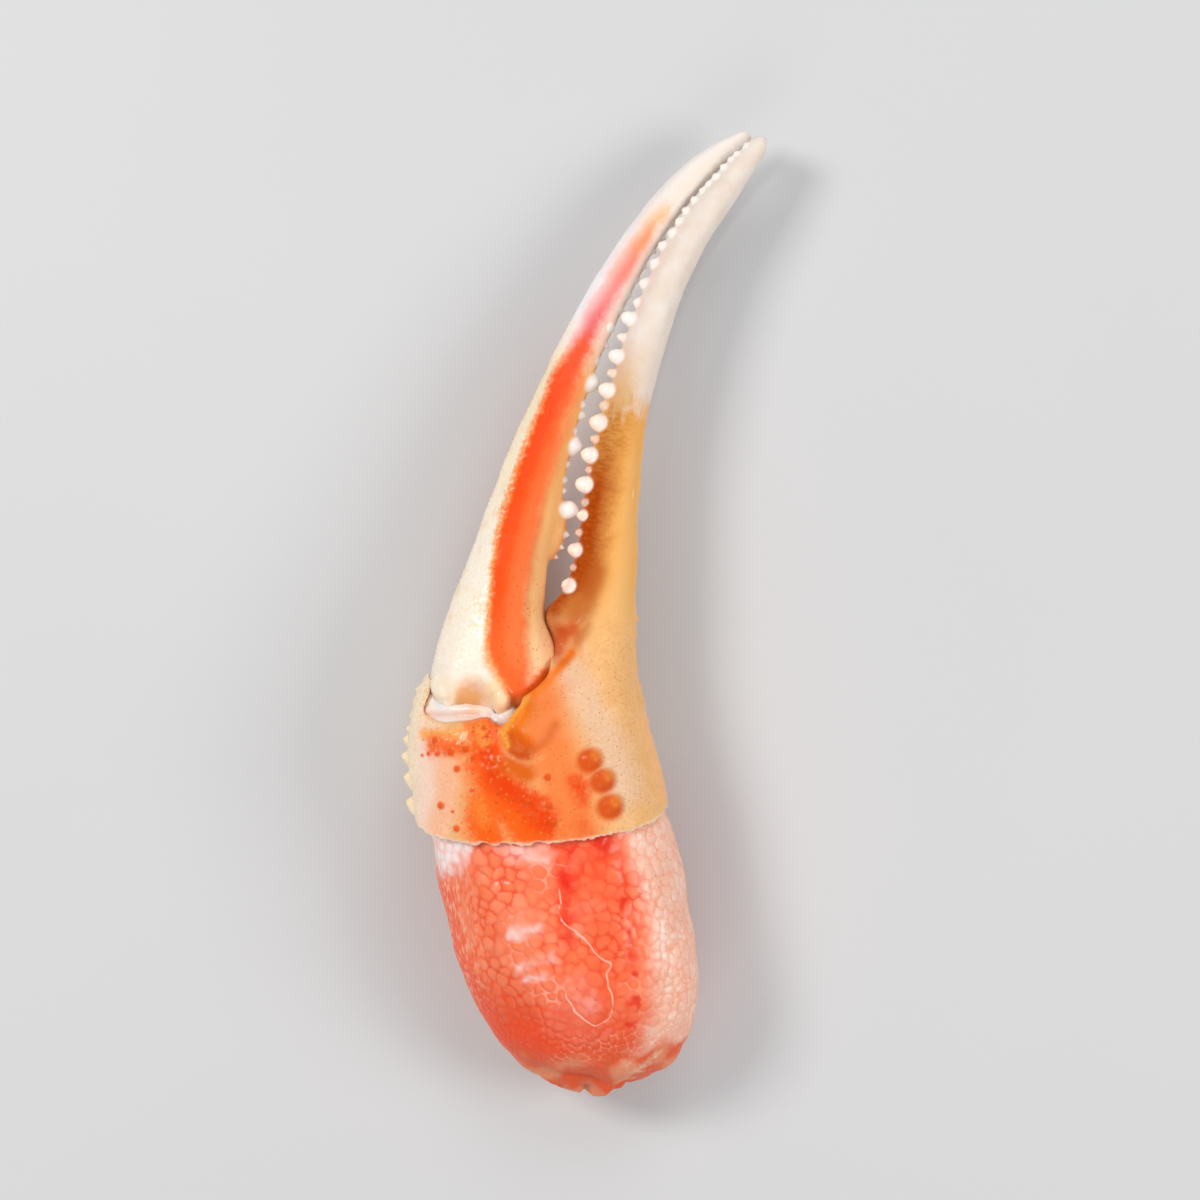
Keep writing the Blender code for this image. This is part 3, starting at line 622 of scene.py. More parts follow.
dactyl = {
    "sides": 96, "rings": 170, "cap": 1 / 34, "keel": (112, 0.1, 22), "power": 2.15, "voxel": 0.17, "toothLift": 0.2,
    "grains": {"spacing": 0.55, "reach": 0.28, "height": 0.1}, "hollow": (-12.6, -13.2), "hollowWidth": 1.9,
    "rise": [(-11.4, -10.9), (-10.2, -11.8)], "bump": [(-17.4, -12.4), (-14, -14.8)],
    "condyle": [(-10.3, -12), (-9.1, -13.4), (-8.7, -15.6)], "wedge": [(-6.5, -12), (-5.4, -10.5), (-4.6, -9.4)],
    "ridge": [
        (-7.3, -13.6), (-8.6, -11.9), (-9.7, -10.4), (-10.9, -9.2), (-11.6, -7.6), (-12, -4.9), (-12.6, 1.5),
        (-12.5, 5.5), (-12.1, 10.1), (-11.4, 14.9), (-10.4, 19.6), (-9.55, 23.9), (-8.25, 27.7), (-6.9, 32.8),
        (-4.9, 37.9), (-2.5, 43.1), (0.8, 48.5), (3.4, 51.8), (7.2, 55),
    ],
    "coralEdge": [
        (-6.6, -13.6), (-6.1, -9.6), (-6.9, -7.2), (-7.5, -5.4), (-8.1, -1), (-8.3, 3), (-8.1, 7.9), (-7.9, 12.8),
        (-7.5, 16.5), (-7, 19.6), (-6.5, 23.5), (-5.9, 28.2), (-4.3, 33.3), (-2.6, 38.1), (-0.8, 42.9), (2, 48),
        (7.4, 55),
    ],
    "knobs": [
        ((-8.95, -13.4, 17.2), (0.12, -1, -0.14), 1.15, 1.8), ((-9.6, -12.4, 5), (0.42, -0.8, -0.3), 1.2, 2.6),
        ((-15.2, -12.9, 14.8), (-0.15, -0.4, 0.9), 2.1, 2.2), ((-6.6, 6.6, 10.3), (0.08, 1, 0), 1.35, 3.6),
    ],
    "beads": [(-5.3, 9.3, 1.05), (-4.2, 30.5, 0.5)],
    "points": [
        (-4.4, 23.7, 1.45), (-5.45, 21.3, 0.6), (-5.2, 20, 0.85), (-4.9, 16.4, 1.6), (-6, 14.3, 0.5),
        (-6, 12.5, 0.55), (-5.9, 11.3, 0.5), (-4.7, 6.4, 0.7), (-4.95, 4.9, 0.6), (-5.4, 3.7, 0.5),
        (-5.85, 18.2, 0.5), (-4.65, 26.4, 0.6), (-3.95, 28.4, 0.6), (-3.05, 32.6, 0.6), (-2.5, 34.4, 0.55),
        (-1.85, 36.3, 0.6), (-1.2, 38.1, 0.55), (-0.5, 40, 0.55), (0.2, 41.7, 0.55), (1, 43.4, 0.55),
        (1.9, 45.2, 0.5),
    ],
    # colours along each lengthwise strip: share of the finger's length, red, green, blue
    "strips": {
        "band": [
            (0, 248, 116, 52), (0.2, 250, 108, 44), (0.34, 248, 84, 16), (0.55, 246, 76, 14), (0.63, 243, 90, 46),
            (0.665, 236, 112, 114), (0.7, 248, 142, 138), (0.74, 251, 138, 120), (0.78, 252, 148, 96),
            (0.81, 252, 186, 128), (0.84, 240, 226, 210),
        ],
        "coral": [
            (0, 247, 108, 54), (0.2, 250, 124, 66), (0.55, 247, 114, 56), (0.62, 244, 122, 78), (0.66, 243, 172, 168),
            (0.7, 246, 188, 180), (0.75, 251, 176, 150), (0.79, 251, 200, 160), (0.83, 240, 228, 214),
        ],
        # the pale outer strip: its own cream, painted whiter in part as a painted sheen
        "left": [
            (0, 254, 238, 222), (0.35, 255, 241, 224), (0.5, 255, 236, 206), (0.6, 254, 228, 192),
            (0.64, 255, 240, 226), (0.68, 255, 250, 252), (0.85, 240, 232, 227),
        ],
        "inner": [
            (0, 250, 196, 142), (0.15, 250, 206, 158), (0.3, 244, 192, 130), (0.5, 243, 184, 114),
            (0.6, 243, 184, 120), (0.65, 244, 212, 192), (0.7, 244, 226, 214), (0.85, 239, 230, 222),
        ],
        "seam": [
            (0, 250, 162, 88), (0.3, 251, 168, 100), (0.5, 250, 158, 92), (0.6, 249, 166, 120), (0.66, 255, 230, 228),
            (0.75, 254, 232, 218), (0.82, 240, 232, 227),
        ],
    },
}


# boxier towards the root and the tip
def dactylPower(t):
    return dactyl["power"] + 0.65 * (1 - smoothStep(t, 0.12, 0.32)) + 0.9 * smoothStep(t, 0.5, 0.95)


def dactylLoft(name, sides, rings, grow=0):
    return loft(name, dactylStations, sides, rings, dactylPower, dactyl["cap"], dactyl["keel"], grow)


def rootLumps(grow=0):
    return [lump(place, out, radius + grow, length + grow) for place, out, radius, length in dactyl["knobs"]]


def buildDactyl():
    p = dactyl
    rng = random.Random(claw["seed"] + 2)
    finger = dactylLoft("movingFinger", p["sides"], p["rings"])
    teeth = toothLumps(p["beads"], dactylStations, 1, p["toothLift"], True, rng)
    teeth += toothLumps(p["points"], dactylStations, 1, p["toothLift"], False, rng)
    combine(finger, "UNION", rootLumps() + teeth)
    reskin(finger, p["voxel"], 3)
    points, normals = pointsOf(finger), pointsOf(finger, "normal")
    t, offset, width, middle = alongAcross(points, dactylStations)
    outer = smoothStep(points[:, 2] - middle, -0.8, 1.4)
    ridge, strip = sideOfLine(points, p["ridge"]), sideOfLine(points, p["coralEdge"])
    lower = 1 - smoothStep(t, 0.6, 0.85)
    base = smoothStep(points[:, 1], -11.5, -8)
    crest = 0.35 * np.exp(-((ridge / 0.8) ** 2)) - 0.22 * np.exp(-(((ridge - 2.2) / 1.3) ** 2))
    crest -= 0.2 * np.exp(-(((strip - 0.4) / 0.6) ** 2)) * smoothStep(-points[:, 1], -16, -8)
    height = outer * base * lower * crest - outer * blot(points, p["hollow"], p["hollowWidth"])
    height += 0.35 * outer * swell(points, p["rise"], 0.9)
    points += normals * (height + wobble(points, 0.3, 5) * 0.12)[:, None]
    bare = 1 - smoothStep(points[:, 1], 8, 26)
    grainy = outer * bare * base * (0.7 * np.exp(-(((ridge + 0.5) / 0.5) ** 2)) + 0.25 * smoothStep(-ridge, 0.2, 1.2))
    grainy += (0.3 + 0.2 * bare) * base * (1 - smoothStep(offset, 0.1, 0.9)) * (t < 0.66)
    grain = raiseGrains(points, normals, np.clip(grainy, 0, 1) * (points[:, 1] > -11.5) * 0.6, rng, **p["grains"])
    movePoints(finger, points)
    mark(
        finger, grain=grain, along=t, ridge=ridge, strip=strip, outer=outer,
        # painted shade: the tan in the dip beside the cream bump
        hollow=blot(points, (-12.3, -13.6), 2.1) * outer,
        bump=np.maximum(blot(points, (-15.6, -13), 2.2), 0.8 * swell(points, p["bump"], 1.2)),
        foot=smoothStep(-points[:, 1], 13.2, 14.8) * (1 - smoothStep(points[:, 0], -10.6, -9.6)),
        condyle=swell(points, p["condyle"], 0.95) * outer, wedge=swell(points, p["wedge"], 0.8) * outer,
        tooth=1 - smoothStep(spotShare(points, p["beads"] + p["points"]), 0.85, 1.25),
    )
    print("dactyl painted")
    return finger


meat = {
    "stations": [
        (-11.5, -22.2, 3.4, -16, midZ, 3.6), (-14.6, -23.6, 7.4, -17.4, midZ, 7.2),
        (-14.9, -25.8, 9.6, -20.2, midZ, 8.6), (-14.4, -28.6, 11.9, -23.4, midZ, 9.2),
        (-13.4, -32.2, 14.4, -28.2, 10.1, 9.6), (-12.1, -36, 16.2, -33.2, 9.8, 10),
        (-10.3, -40, 17.9, -38.2, 9.6, 10), (-8.2, -44.2, 18.7, -43.2, 9.2, 9.5),
        (-5.8, -48.2, 18.4, -47.4, 8.6, 8.6), (-3.2, -51.4, 16.8, -50.9, 8, 7.2), (-0.4, -53.4, 14.4, -53, 7.7, 5.2),
        (3.4, -54.4, 11.4, -54.2, 7.5, 2.8),
    ],
    "power": 2.3, "sides": 430, "rings": 220, "cap": 1 / 30, "cell": 1.6, "rounding": 7.5, "hiddenRings": (0.1, 0.26),
    "seam": [(1, -26), (1.6, -28.6), (1.9, -32), (2.4, -36), (3, -38)],
    "secondSeam": [(5.4, -25.6), (7.4, -29.6), (8.8, -33), (9.9, -36.5), (10.8, -41), (11.3, -44), (11.6, -48.5)],
    "redSpots": [
        (5, -26.9, 1.4), (8.2, -33, 0.6), (9.6, -36.2, 0.5), (9.9, -37.2, 0.5), (10.9, -40.6, 0.55),
        (11.6, -43.8, 0.6), (11.4, -46.6, 0.5),
    ],
    "thread": [
        (1, -32.6), (1.5, -34), (1.4, -35.2), (2.2, -36.4), (3.9, -37.2), (5.4, -38.1), (6.6, -39.3), (8.2, -40),
        (8, -41.4), (8.7, -43), (9.2, -44.6), (8.9, -46.2), (7.6, -47.2), (6, -46.6), (4.6, -45.4), (3.8, -44),
    ],
    "endLine": ([-9, -4, 0, 4, 8, 12, 15, 19], [-56, -53.6, -52.6, -52.8, -51.8, -50.2, -49, -47.4]),
    "zones": {
        "whitePatch": [
            ([(-14.2, -28.8), (-11, -29), (-12.4, -32)], 2, 1), ([(-5.4, -29.4), (-1.2, -29.4)], 1.3, 0.45),
            ([(-3.2, -38.6), (-0.2, -37.2)], 0.95, 0.5), ([(-1.8, -42.2), (0.2, -41.2), (1.8, -40.2)], 0.8, 0.45),
            ([(-0.8, -43.4), (1, -42.6)], 0.6, 0.5), ([(5, -43.2), (6.4, -44.6)], 1.6, 0.3),
        ],
        "hot": [
            ([(-13, -34), (-9.6, -43), (-4, -50.4), (0.5, -51.4)], 2.2, 0.9), ([(-1, -50), (3.6, -50.4)], 2, 0.9),
            ([(4.4, -25.6), (5.2, -28.4)], 1.9, 0.9),
        ],
        "redder": [([(3.6, -29), (6.6, -34), (7.6, -42)], 3.4, 0.8)],
    },
}


def meatSwell(points, t, angle):
    turned, along = np.radians(angle), t * 9
    swelling = 0.16 * np.sin(5 * turned + along) + 0.1 * np.sin(3 * turned - 2.3 * along)
    out = np.column_stack([points[:, 0] - 3, np.zeros(len(points)), points[:, 2] - midZ])
    out /= np.maximum(np.linalg.norm(out, axis=1), 1e-6)[:, None]
    bare = np.clip((t - 0.36) / 0.05, 0, 1)
    end = np.maximum(0, (t - 0.88) / 0.12)
    tuft = end * (0.45 * np.sin(7 * turned + 1) + 0.4 * np.sin(4 * turned + 30 * t))
    return out * (swelling * bare)[:, None] + np.array((0.1, -1, 0)) * tuft[:, None]


def meatLoft(name, sides, rings, grow=0, spread=None):
    return loft(name, meat["stations"], sides, rings, meat["power"], meat["cap"], None, grow, spread, meatSwell)


# few rings on the end that stays inside the palm
def spreadRings(t):
    few, end = meat["hiddenRings"]
    return np.where(t < few, t / few * end, end + (t - few) / (1 - few) * (1 - end))


# rounded cells: how far a point lies from its cell's edge, as a share of the cell, and which cell it is in
def cellsOf(points, seeds, size, stretch, rng):
    tree = treeOf(points[seeds])
    weight = np.array([rng.uniform(0, 0.22) for _ in seeds])
    found = [tree.find_n(q, 8) for q in points]
    index = np.array([[f[1] for f in row] for row in found])
    apart = np.array([[f[0] for f in row] for row in found]) - points[:, None, :]
    apart[:, :, 1] /= stretch[:, None]
    reach = np.linalg.norm(apart, axis=2) / size[:, None] - weight[index]
    order = np.argsort(reach, axis=1)
    reach = np.take_along_axis(reach, order, axis=1)
    k = meat["rounding"]
    rest = -np.log(np.exp(-k * (reach[:, 1:] - reach[:, :1])).sum(1)) / k
    return rest, np.take_along_axis(index, order[:, :1], axis=1)[:, 0]


def buildMeat():
    p = meat
    rng = random.Random(claw["seed"] + 3)
    sides, rings = int(p["sides"] / coarse), int(p["rings"] / coarse)
    body = meatLoft("bareMeat", sides, rings, 0, spreadRings)
    points, normals = pointsOf(body), pointsOf(body, "normal")
    outer = smoothStep(points[:, 2] - midZ + 0.8, -2.5, 2.5)
    x, y = points[:, 0], points[:, 1]
    leftEdge = 1 - smoothStep(x + 0.34 * (y + 30), -13.5, -7.5)
    low = smoothStep(-y, 44, 51)
    pale = x - np.interp(-y, [25, 27, 32.5, 36.5, 41, 44, 48, 52], [7, 8.2, 11.2, 12.4, 13.2, 13.8, 13.6, 12])
    size = 1 - 0.2 * leftEdge - 0.35 * low - 0.2 * smoothStep(pale, -2, 2)
    size = p["cell"] * (size + 0.25 * (1 - smoothStep(-y, 28, 34)))
    warp = np.column_stack([wobble(points, 0.8, 2), wobble(points, 0.8, 7), np.zeros(len(points))]) * 0.5
    seeds = scatter(points + warp, (y < -18) * 1, size * 0.72, rng)
    border, owner = cellsOf(points + warp, seeds, size, 1 + 0.9 * leftEdge * (1 - low), rng)
    tone = np.array([rng.random() for _ in seeds])[owner]
    loose = points + warp * 1.4
    seam = np.maximum(0.8 * swell(loose + 0.5 * warp, p["seam"], 1.5), 0.5 * swell(loose, p["secondSeam"], 0.8))
    seam = seam * outer * (0.75 + 0.6 * wobble(points, 0.35, 15))
    end = np.interp(x, *p["endLine"]) - y + 1.4 * wobble(points, 0.4, 12)
    flesh = smoothStep(end, -2.2, 1.2)
    strands = np.array([noise.noise(Vector((q[0] * 1.2, q[1] * 0.25, q[2] * 1.2))) for q in points])
    lobes = wobble(points, 0.3, 21)
    dome = smoothStep(border, 0, 0.45)
    height = 0.06 * (dome - 0.6) * (1 - flesh) * (1 - 0.7 * seam) - 0.12 * seam + 0.22 * wobble(points, 0.3, 6)
    height += smoothStep(end, -1.5, 2) * (0.34 * lobes + 0.1 * strands)
    points += normals * height[:, None]
    points[:, 2] = np.maximum(points[:, 2], 0)
    movePoints(body, points)
    thread = rowsAt(p["thread"], np.linspace(0, 1, 60))
    mark(
        body, border=border, tone=tone, outer=outer, seam=seam, flesh=flesh, lobes=lobes,
        redSpot=outer * np.maximum.reduce([blot(loose, spot[:2], spot[2]) for spot in p["redSpots"]]),
        thread=lineDistance(points + warp * 0.5, thread) + 3 * (1 - outer),
        lowEnd=smoothStep(-y, 41, 49) * outer,
        paleSide=smoothStep(pale, -2.6, 2.2),
        # where painted highlight streaks run down the meat's left edge
        streaky=leftEdge * (1 - low) * outer,
    )
    markZones(body, p["zones"], loose, outer)
    print("meat shaped,", len(seeds), "cells")
    return body


membrane = {
    "centre": (-12.8, -17.4, midZ), "half": (10.6, 6, 8.2), "slant": 8, "voxel": 0.16, "pad": (-8.3, -15.1, 16.2),
    "fold": [(-17, -16.4), (-14.6, -15.9), (-11.2, -15.2)],
}


def buildMembrane():
    p = membrane
    bm = bmesh.new()
    bmesh.ops.create_uvsphere(bm, u_segments=96, v_segments=60, radius=1)
    bmesh.ops.scale(bm, vec=Vector(p["half"]), verts=bm.verts)
    turn = Matrix.Rotation(math.radians(p["slant"]), 4, "Z")
    bmesh.ops.transform(bm, matrix=Matrix.Translation(p["centre"]) @ turn, verts=bm.verts)
    skin = newPiece("jointMembrane", bm)
    combine(skin, "UNION", [lump(p["pad"], (0, 0, 1), 1.7, 1.9, 3, 0)])
    combine(skin, "INTERSECT", [hollowLoft("palmInside", -palmShell["wall"] + 0.5)])
    rooms = [dactylLoft("rootRoom", 60, 100, 0), *rootLumps(0.05), meatLoft("meatRoom", 90, 90, 0.2)]
    combine(skin, "DIFFERENCE", rooms)
    reskin(skin, p["voxel"], 2)
    points, normals = pointsOf(skin), pointsOf(skin, "normal")
    up = smoothStep(normals[:, 2], 0, 0.5)
    fold = swell(points, p["fold"], 0.5)
    away = lineDistance(points, p["fold"])
    folds = 0.5 * np.sin(away * 3) * np.exp(-away / 2)
    points += normals * (up * (-0.3 * fold + 0.22 * folds) + 0.1 * wobble(points, 0.5, 2))[:, None]
    movePoints(skin, points)
    # tan is painted shade: the dactyl's shaded dip carried onto the skin below it
    mark(skin, fold=fold, rose=swell(points, p["fold"], 1.2), tan=blot(points, (-12.2, -14.4), 1.5))
    return skin


def tint(red, green, blue):
    return tuple(((c / 255 + 0.055) / 1.055) ** 2.4 if c > 10 else c / 255 / 12.92 for c in (red, green, blue)) + (1,)


shaderSockets = {
    "colour": "Base Color", "roughness": "Roughness", "coat": "Coat Weight", "coatRoughness": "Coat Roughness",
    "specular": "Specular IOR Level", "glow": "Subsurface Weight", "glowDepth": "Subsurface Scale",
    "glowColour": "Subsurface Radius", "normal": "Normal",
}


# the nodes of one material or group: each call adds nodes and gives back the socket that they put out
class NodeKit:
    def __init__(self, tree):
        self.tree = tree

    def feed(self, sockets, values):
        for key, value in values.items():
            if isinstance(value, bpy.types.NodeSocket):
                self.tree.links.new(value, sockets[key])
            else:
                sockets[key].default_value = value

    def finish(self, **values):
        shader = self.tree.nodes["Principled BSDF"]
        self.feed(shader.inputs, {shaderSockets[key]: value for key, value in values.items()})

    def add(self, kind, inputs, **settings):
        made = self.tree.nodes.new("ShaderNode" + kind)
        for key, value in settings.items():
            setattr(made, key, value)
        self.feed(made.inputs, inputs)
        return made.outputs

    # colours are sockets, or red, green and blue from 0 to 255
    def mix(self, mask, under, over):
        under, over = (tint(*shade) if isinstance(shade, tuple) else shade for shade in (under, over))
        return self.add("Mix", {0: mask, 6: under, 7: over}, data_type="RGBA")[2]

    def layers(self, colour, *coats):
        for mask, over in coats:
            colour = self.mix(mask, colour, over)
        return colour

    def chain(self, operation, total, *values):
        for value in values:
            total = self.add("Math", {0: total, 1: value}, operation=operation)[0]
        return total

    def times(self, *values):
        return self.chain("MULTIPLY", *values)

    def plus(self, *values):
        return self.chain("ADD", *values)

    def less(self, value, other):
        return self.chain("SUBTRACT", value, other)

    def centred(self, *values):
        return [self.less(value, 0.5) for value in values]

    def read(self, name, *share):
        return self.times(self.add("Attribute", {}, attribute_name=name)["Fac"], *share)

    def ramp(self, value, low, high, to=(0, 1)):
        values = {0: value, 1: low, 2: high, 3: to[0], 4: to[1]}
        return self.add("MapRange", values, interpolation_type="SMOOTHSTEP")[0]

    def noise(self, place, scale, detail=3, rough=0.5):
        return self.add("TexNoise", {"Vector": place, "Scale": scale, "Detail": detail, "Roughness": rough})["Fac"]

    def cells(self, place, scale, feature="F1"):
        return self.add("TexVoronoi", {"Vector": place, "Scale": scale}, feature=feature)

    def channel(self, colour, number):
        return self.add("SeparateColor", {0: colour})[number]

    def stretched(self, place, scale, turn=0):
        return self.add("Mapping", {"Vector": place, "Scale": scale, "Rotation": (0, 0, turn)})[0]

    def grain(self, place, scale, turn=0):
        return self.noise(self.stretched(place, scale, turn), 1, 2)

    def stops(self, value, *stops):
        made = self.tree.nodes.new("ShaderNodeValToRGB")
        self.feed(made.inputs, {0: value})
        bar = made.color_ramp
        bar.interpolation = "EASE"
        while len(bar.elements) < len(stops):
            bar.elements.new(0.5)
        for element, (position, *shade) in zip(bar.elements, stops):
            element.position, element.color = position, tint(*shade)
        return made.outputs[0]

    def bump(self, height, distance, strength):
        return self.add("Bump", {"Height": height, "Distance": distance, "Strength": strength})[0]

    def dots(self, place, spacing, size, share):
        values = {"Vector": place, "Spacing": spacing, "Size": size, "Share": share}
        return self.add("Group", values, node_tree=specks)["Mask"]

    def mottled(self, place, scale):
        return self.add("Group", {"Vector": place, "Scale": scale}, node_tree=mottle)

    # a painted mask with its edge loosened a little by the mottle
    def loose(self, name, shake, *share):
        value = self.read(name)
        room = self.times(value, self.less(1.02, value), 4)
        return self.times(self.ramp(self.plus(value, self.times(shake, room)), 0.03, 0.97), *share)


def newGroup(name, ins, outs):
    group = bpy.data.node_groups.new(name, "ShaderNodeTree")
    group.interface.new_socket(name="Vector", in_out="INPUT", socket_type="NodeSocketVector")
    for socket, default in ins.items():
        group.interface.new_socket(name=socket, in_out="INPUT", socket_type="NodeSocketFloat").default_value = default
    for socket in outs:
        group.interface.new_socket(name=socket, in_out="OUTPUT", socket_type="NodeSocketFloat")
    return group, NodeKit(group), group.nodes.new("NodeGroupInput").outputs, group.nodes.new("NodeGroupOutput").inputs


# small dark pigment dots, one to a cell, some left out
def speckGroup():
    group, n, given, out = newGroup("pigmentSpecks", {"Spacing": 1500, "Size": 0.1, "Share": 0.7}, ["Mask"])
    cells = n.cells(given["Vector"], given["Spacing"])
    dot = n.ramp(cells["Distance"], given["Size"], n.times(given["Size"], 1.8), (1, 0))
    kept = n.chain("LESS_THAN", n.channel(cells["Color"], 0), given["Share"])
    n.feed(out, {"Mask": n.times(dot, kept, n.plus(0.5, n.channel(cells["Color"], 1)))})
    return group


# broad clouds, a fine stipple and a height for the bump, all from one scale
def mottleGroup():
    group, n, given, out = newGroup("shellMottle", {"Scale": 500}, ["Broad", "Fine", "Height"])
    place, scale = given["Vector"], given["Scale"]
    fine = n.noise(place, n.times(scale, 6), 3, 0.6)
    pits = n.cells(place, n.times(scale, 5))["Distance"]
    height = n.plus(n.times(fine, 0.6), n.times(pits, 0.4))
    n.feed(out, {"Broad": n.noise(place, scale, 4, 0.55), "Fine": fine, "Height": height})
    return group


specks, mottle = speckGroup(), mottleGroup()


def newMaterial(name, **finish):
    material = bpy.data.materials.new(name)
    material.use_nodes = True
    n = NodeKit(material.node_tree)
    n.finish(**finish)
    return material, n, n.add("TexCoord", {})["Object"]


def palmMaterial():
    looks = {"specular": 0.07, "coatRoughness": 0.14, "glow": 0.25, "glowDepth": 0.0007, "glowColour": (1, 0.45, 0.2)}
    material, n, place = newMaterial("palmShellFinish", **looks)
    soft = n.mottled(place, 420)
    broad, fine = n.centred(soft["Broad"], soft["Fine"])
    shake = n.plus(n.times(broad, 0.45), n.times(fine, 0.35))
    rough = n.plus(n.times(broad, 1.1), n.times(fine, 0.8))
    colour = n.mix(n.ramp(soft["Broad"], 0.3, 0.7), (240, 184, 118), (243, 192, 130))
    for name, over in palmShell["tints"].items():
        colour = n.mix(n.loose(name, rough if name in palmShell["roughEdged"] else shake), colour, over)
    pimple = n.cells(place, 1500)
    reddish = n.plus(n.read("orange"), n.read("rimBand"), n.times(broad, 0.8))
    pimpled = n.times(n.ramp(pimple["Distance"], 0.1, 0.36, (1, 0)), n.ramp(reddish, 0.3, 0.8))
    pimpleTint = n.mix(n.ramp(n.channel(pimple["Color"], 0), 0.45, 0.55), (226, 62, 6), (255, 150, 70))
    dots = n.dots(place, 2100, 0.15, 0.85)
    fingerUp = n.read("fingerUp")
    dotted = n.times(n.ramp(fingerUp, -8, 0, (0.5, 0.08)), n.less(1, n.read("creamLeft")))
    dotted = n.times(dotted, n.ramp(n.read("warmRight"), 0, 0.5, (1, 0.3)))
    colour = n.layers(
        colour,
        (n.times(pimpled, 0.5), pimpleTint),
        (n.ramp(soft["Fine"], 0.42, 0.62, (0.12, 0)), (206, 92, 30)),
        (n.times(dots, dotted), (214, 104, 44)),
        # painted shade on the big studs' lower left and a painted highlight on their upper right
        (n.read("studRing", 0.95), (218, 82, 0)),
        (n.read("studTop", 0.5), (240, 142, 44)),
        (n.read("studDark", 0.95), (234, 84, 0)),
        (n.read("grain", 0.3), (255, 190, 112)),
        (n.read("spine", 0.85), (255, 228, 190)),
    )
    # the fixed finger: brown and hairy beside the teeth, tan further out, white towards the tip
    hairs = n.ramp(n.grain(place, (900, 3200, 900), 0.5), 0.35, 0.65)
    inward = n.plus(n.read("fingerIn"), n.times(fine, 1), n.times(broad, 1.6))
    outward = n.plus(n.read("fingerOut"), n.times(broad, 1.2))
    tan = n.mix(n.ramp(inward, 2.8, 6), (238, 170, 88), (244, 187, 114))
    tan = n.mix(n.ramp(outward, 0.2, 1.4, (0.5, 0)), tan, (240, 166, 84))
    deep, pale = n.mix(hairs, (166, 66, 2), (180, 84, 10)), n.mix(hairs, (192, 120, 46), (208, 146, 72))
    brown = n.mix(n.ramp(fingerUp, 13, 20), deep, pale)
    fibres = n.dots(n.stretched(place, (1, 0.22, 1), 0.6), 900, 0.09, 0.22)
    strokes = n.less(n.grain(place, (2600, 500, 2600), 0.15), 0.5)
    up = n.plus(fingerUp, n.times(strokes, 4.5), n.times(broad, 4))
    stain = n.mix(n.ramp(inward, 1.5, 4, (0.95, 0)), (234, 216, 202), (218, 174, 116))
    clear = n.mix(n.ramp(soft["Broad"], 0.3, 0.75), (231, 215, 201), (237, 227, 218))
    freckles = n.dots(place, 520, 0.07, 0.12)
    white = n.layers(stain, (n.ramp(fingerUp, 23, 32), clear), (n.times(freckles, 0.6), (206, 172, 132)))
    finger = n.layers(
        tan,
        (n.ramp(inward, 1.3, 4.6, (1, 0)), brown),
        (n.times(fibres, 0.55), (252, 214, 152)),
        (n.ramp(up, 20.4, 23.8), white),
    )
    fingerMask = n.ramp(n.plus(fingerUp, n.times(broad, 6)), -6, 2)
    colour = n.layers(
        colour,
        (fingerMask, finger),
        (n.loose("rootShade", shake, 0.8), (184, 88, 24)),
        # the web's reddish skin with painted shade for its hollow
        (n.loose("webRedAndShade", shake, 0.8), (206, 76, 18)),
        (n.read("tooth"), (255, 252, 246)),
    )
    cloud = n.plus(soft["Broad"], n.times(fine, 0.4))
    under = n.layers(
        (250, 208, 162),
        (n.ramp(cloud, 0.42, 0.68), (244, 150, 90)),
        (n.ramp(up, 20.8, 24), white),
        (n.times(dots, 0.5), (206, 86, 30)),
    )
    colour = n.layers(under, (n.read("outer"), colour), (n.read("cutEdge", 0.75), (252, 230, 206)))
    wet = n.plus(0.12, *(n.read(name, share) for name, share in palmShell["wet"].items()))
    n.finish(
        colour=colour,
        coat=n.plus(n.times(wet, n.less(1, fingerMask)), n.read("tooth", 0.35)),
        roughness=n.plus(0.32, n.times(soft["Fine"], 0.2), n.times(fingerMask, 0.16)),
        normal=n.bump(n.plus(soft["Height"], n.times(pimpled, 1.2)), 0.0001, 0.6),
    )
    return material


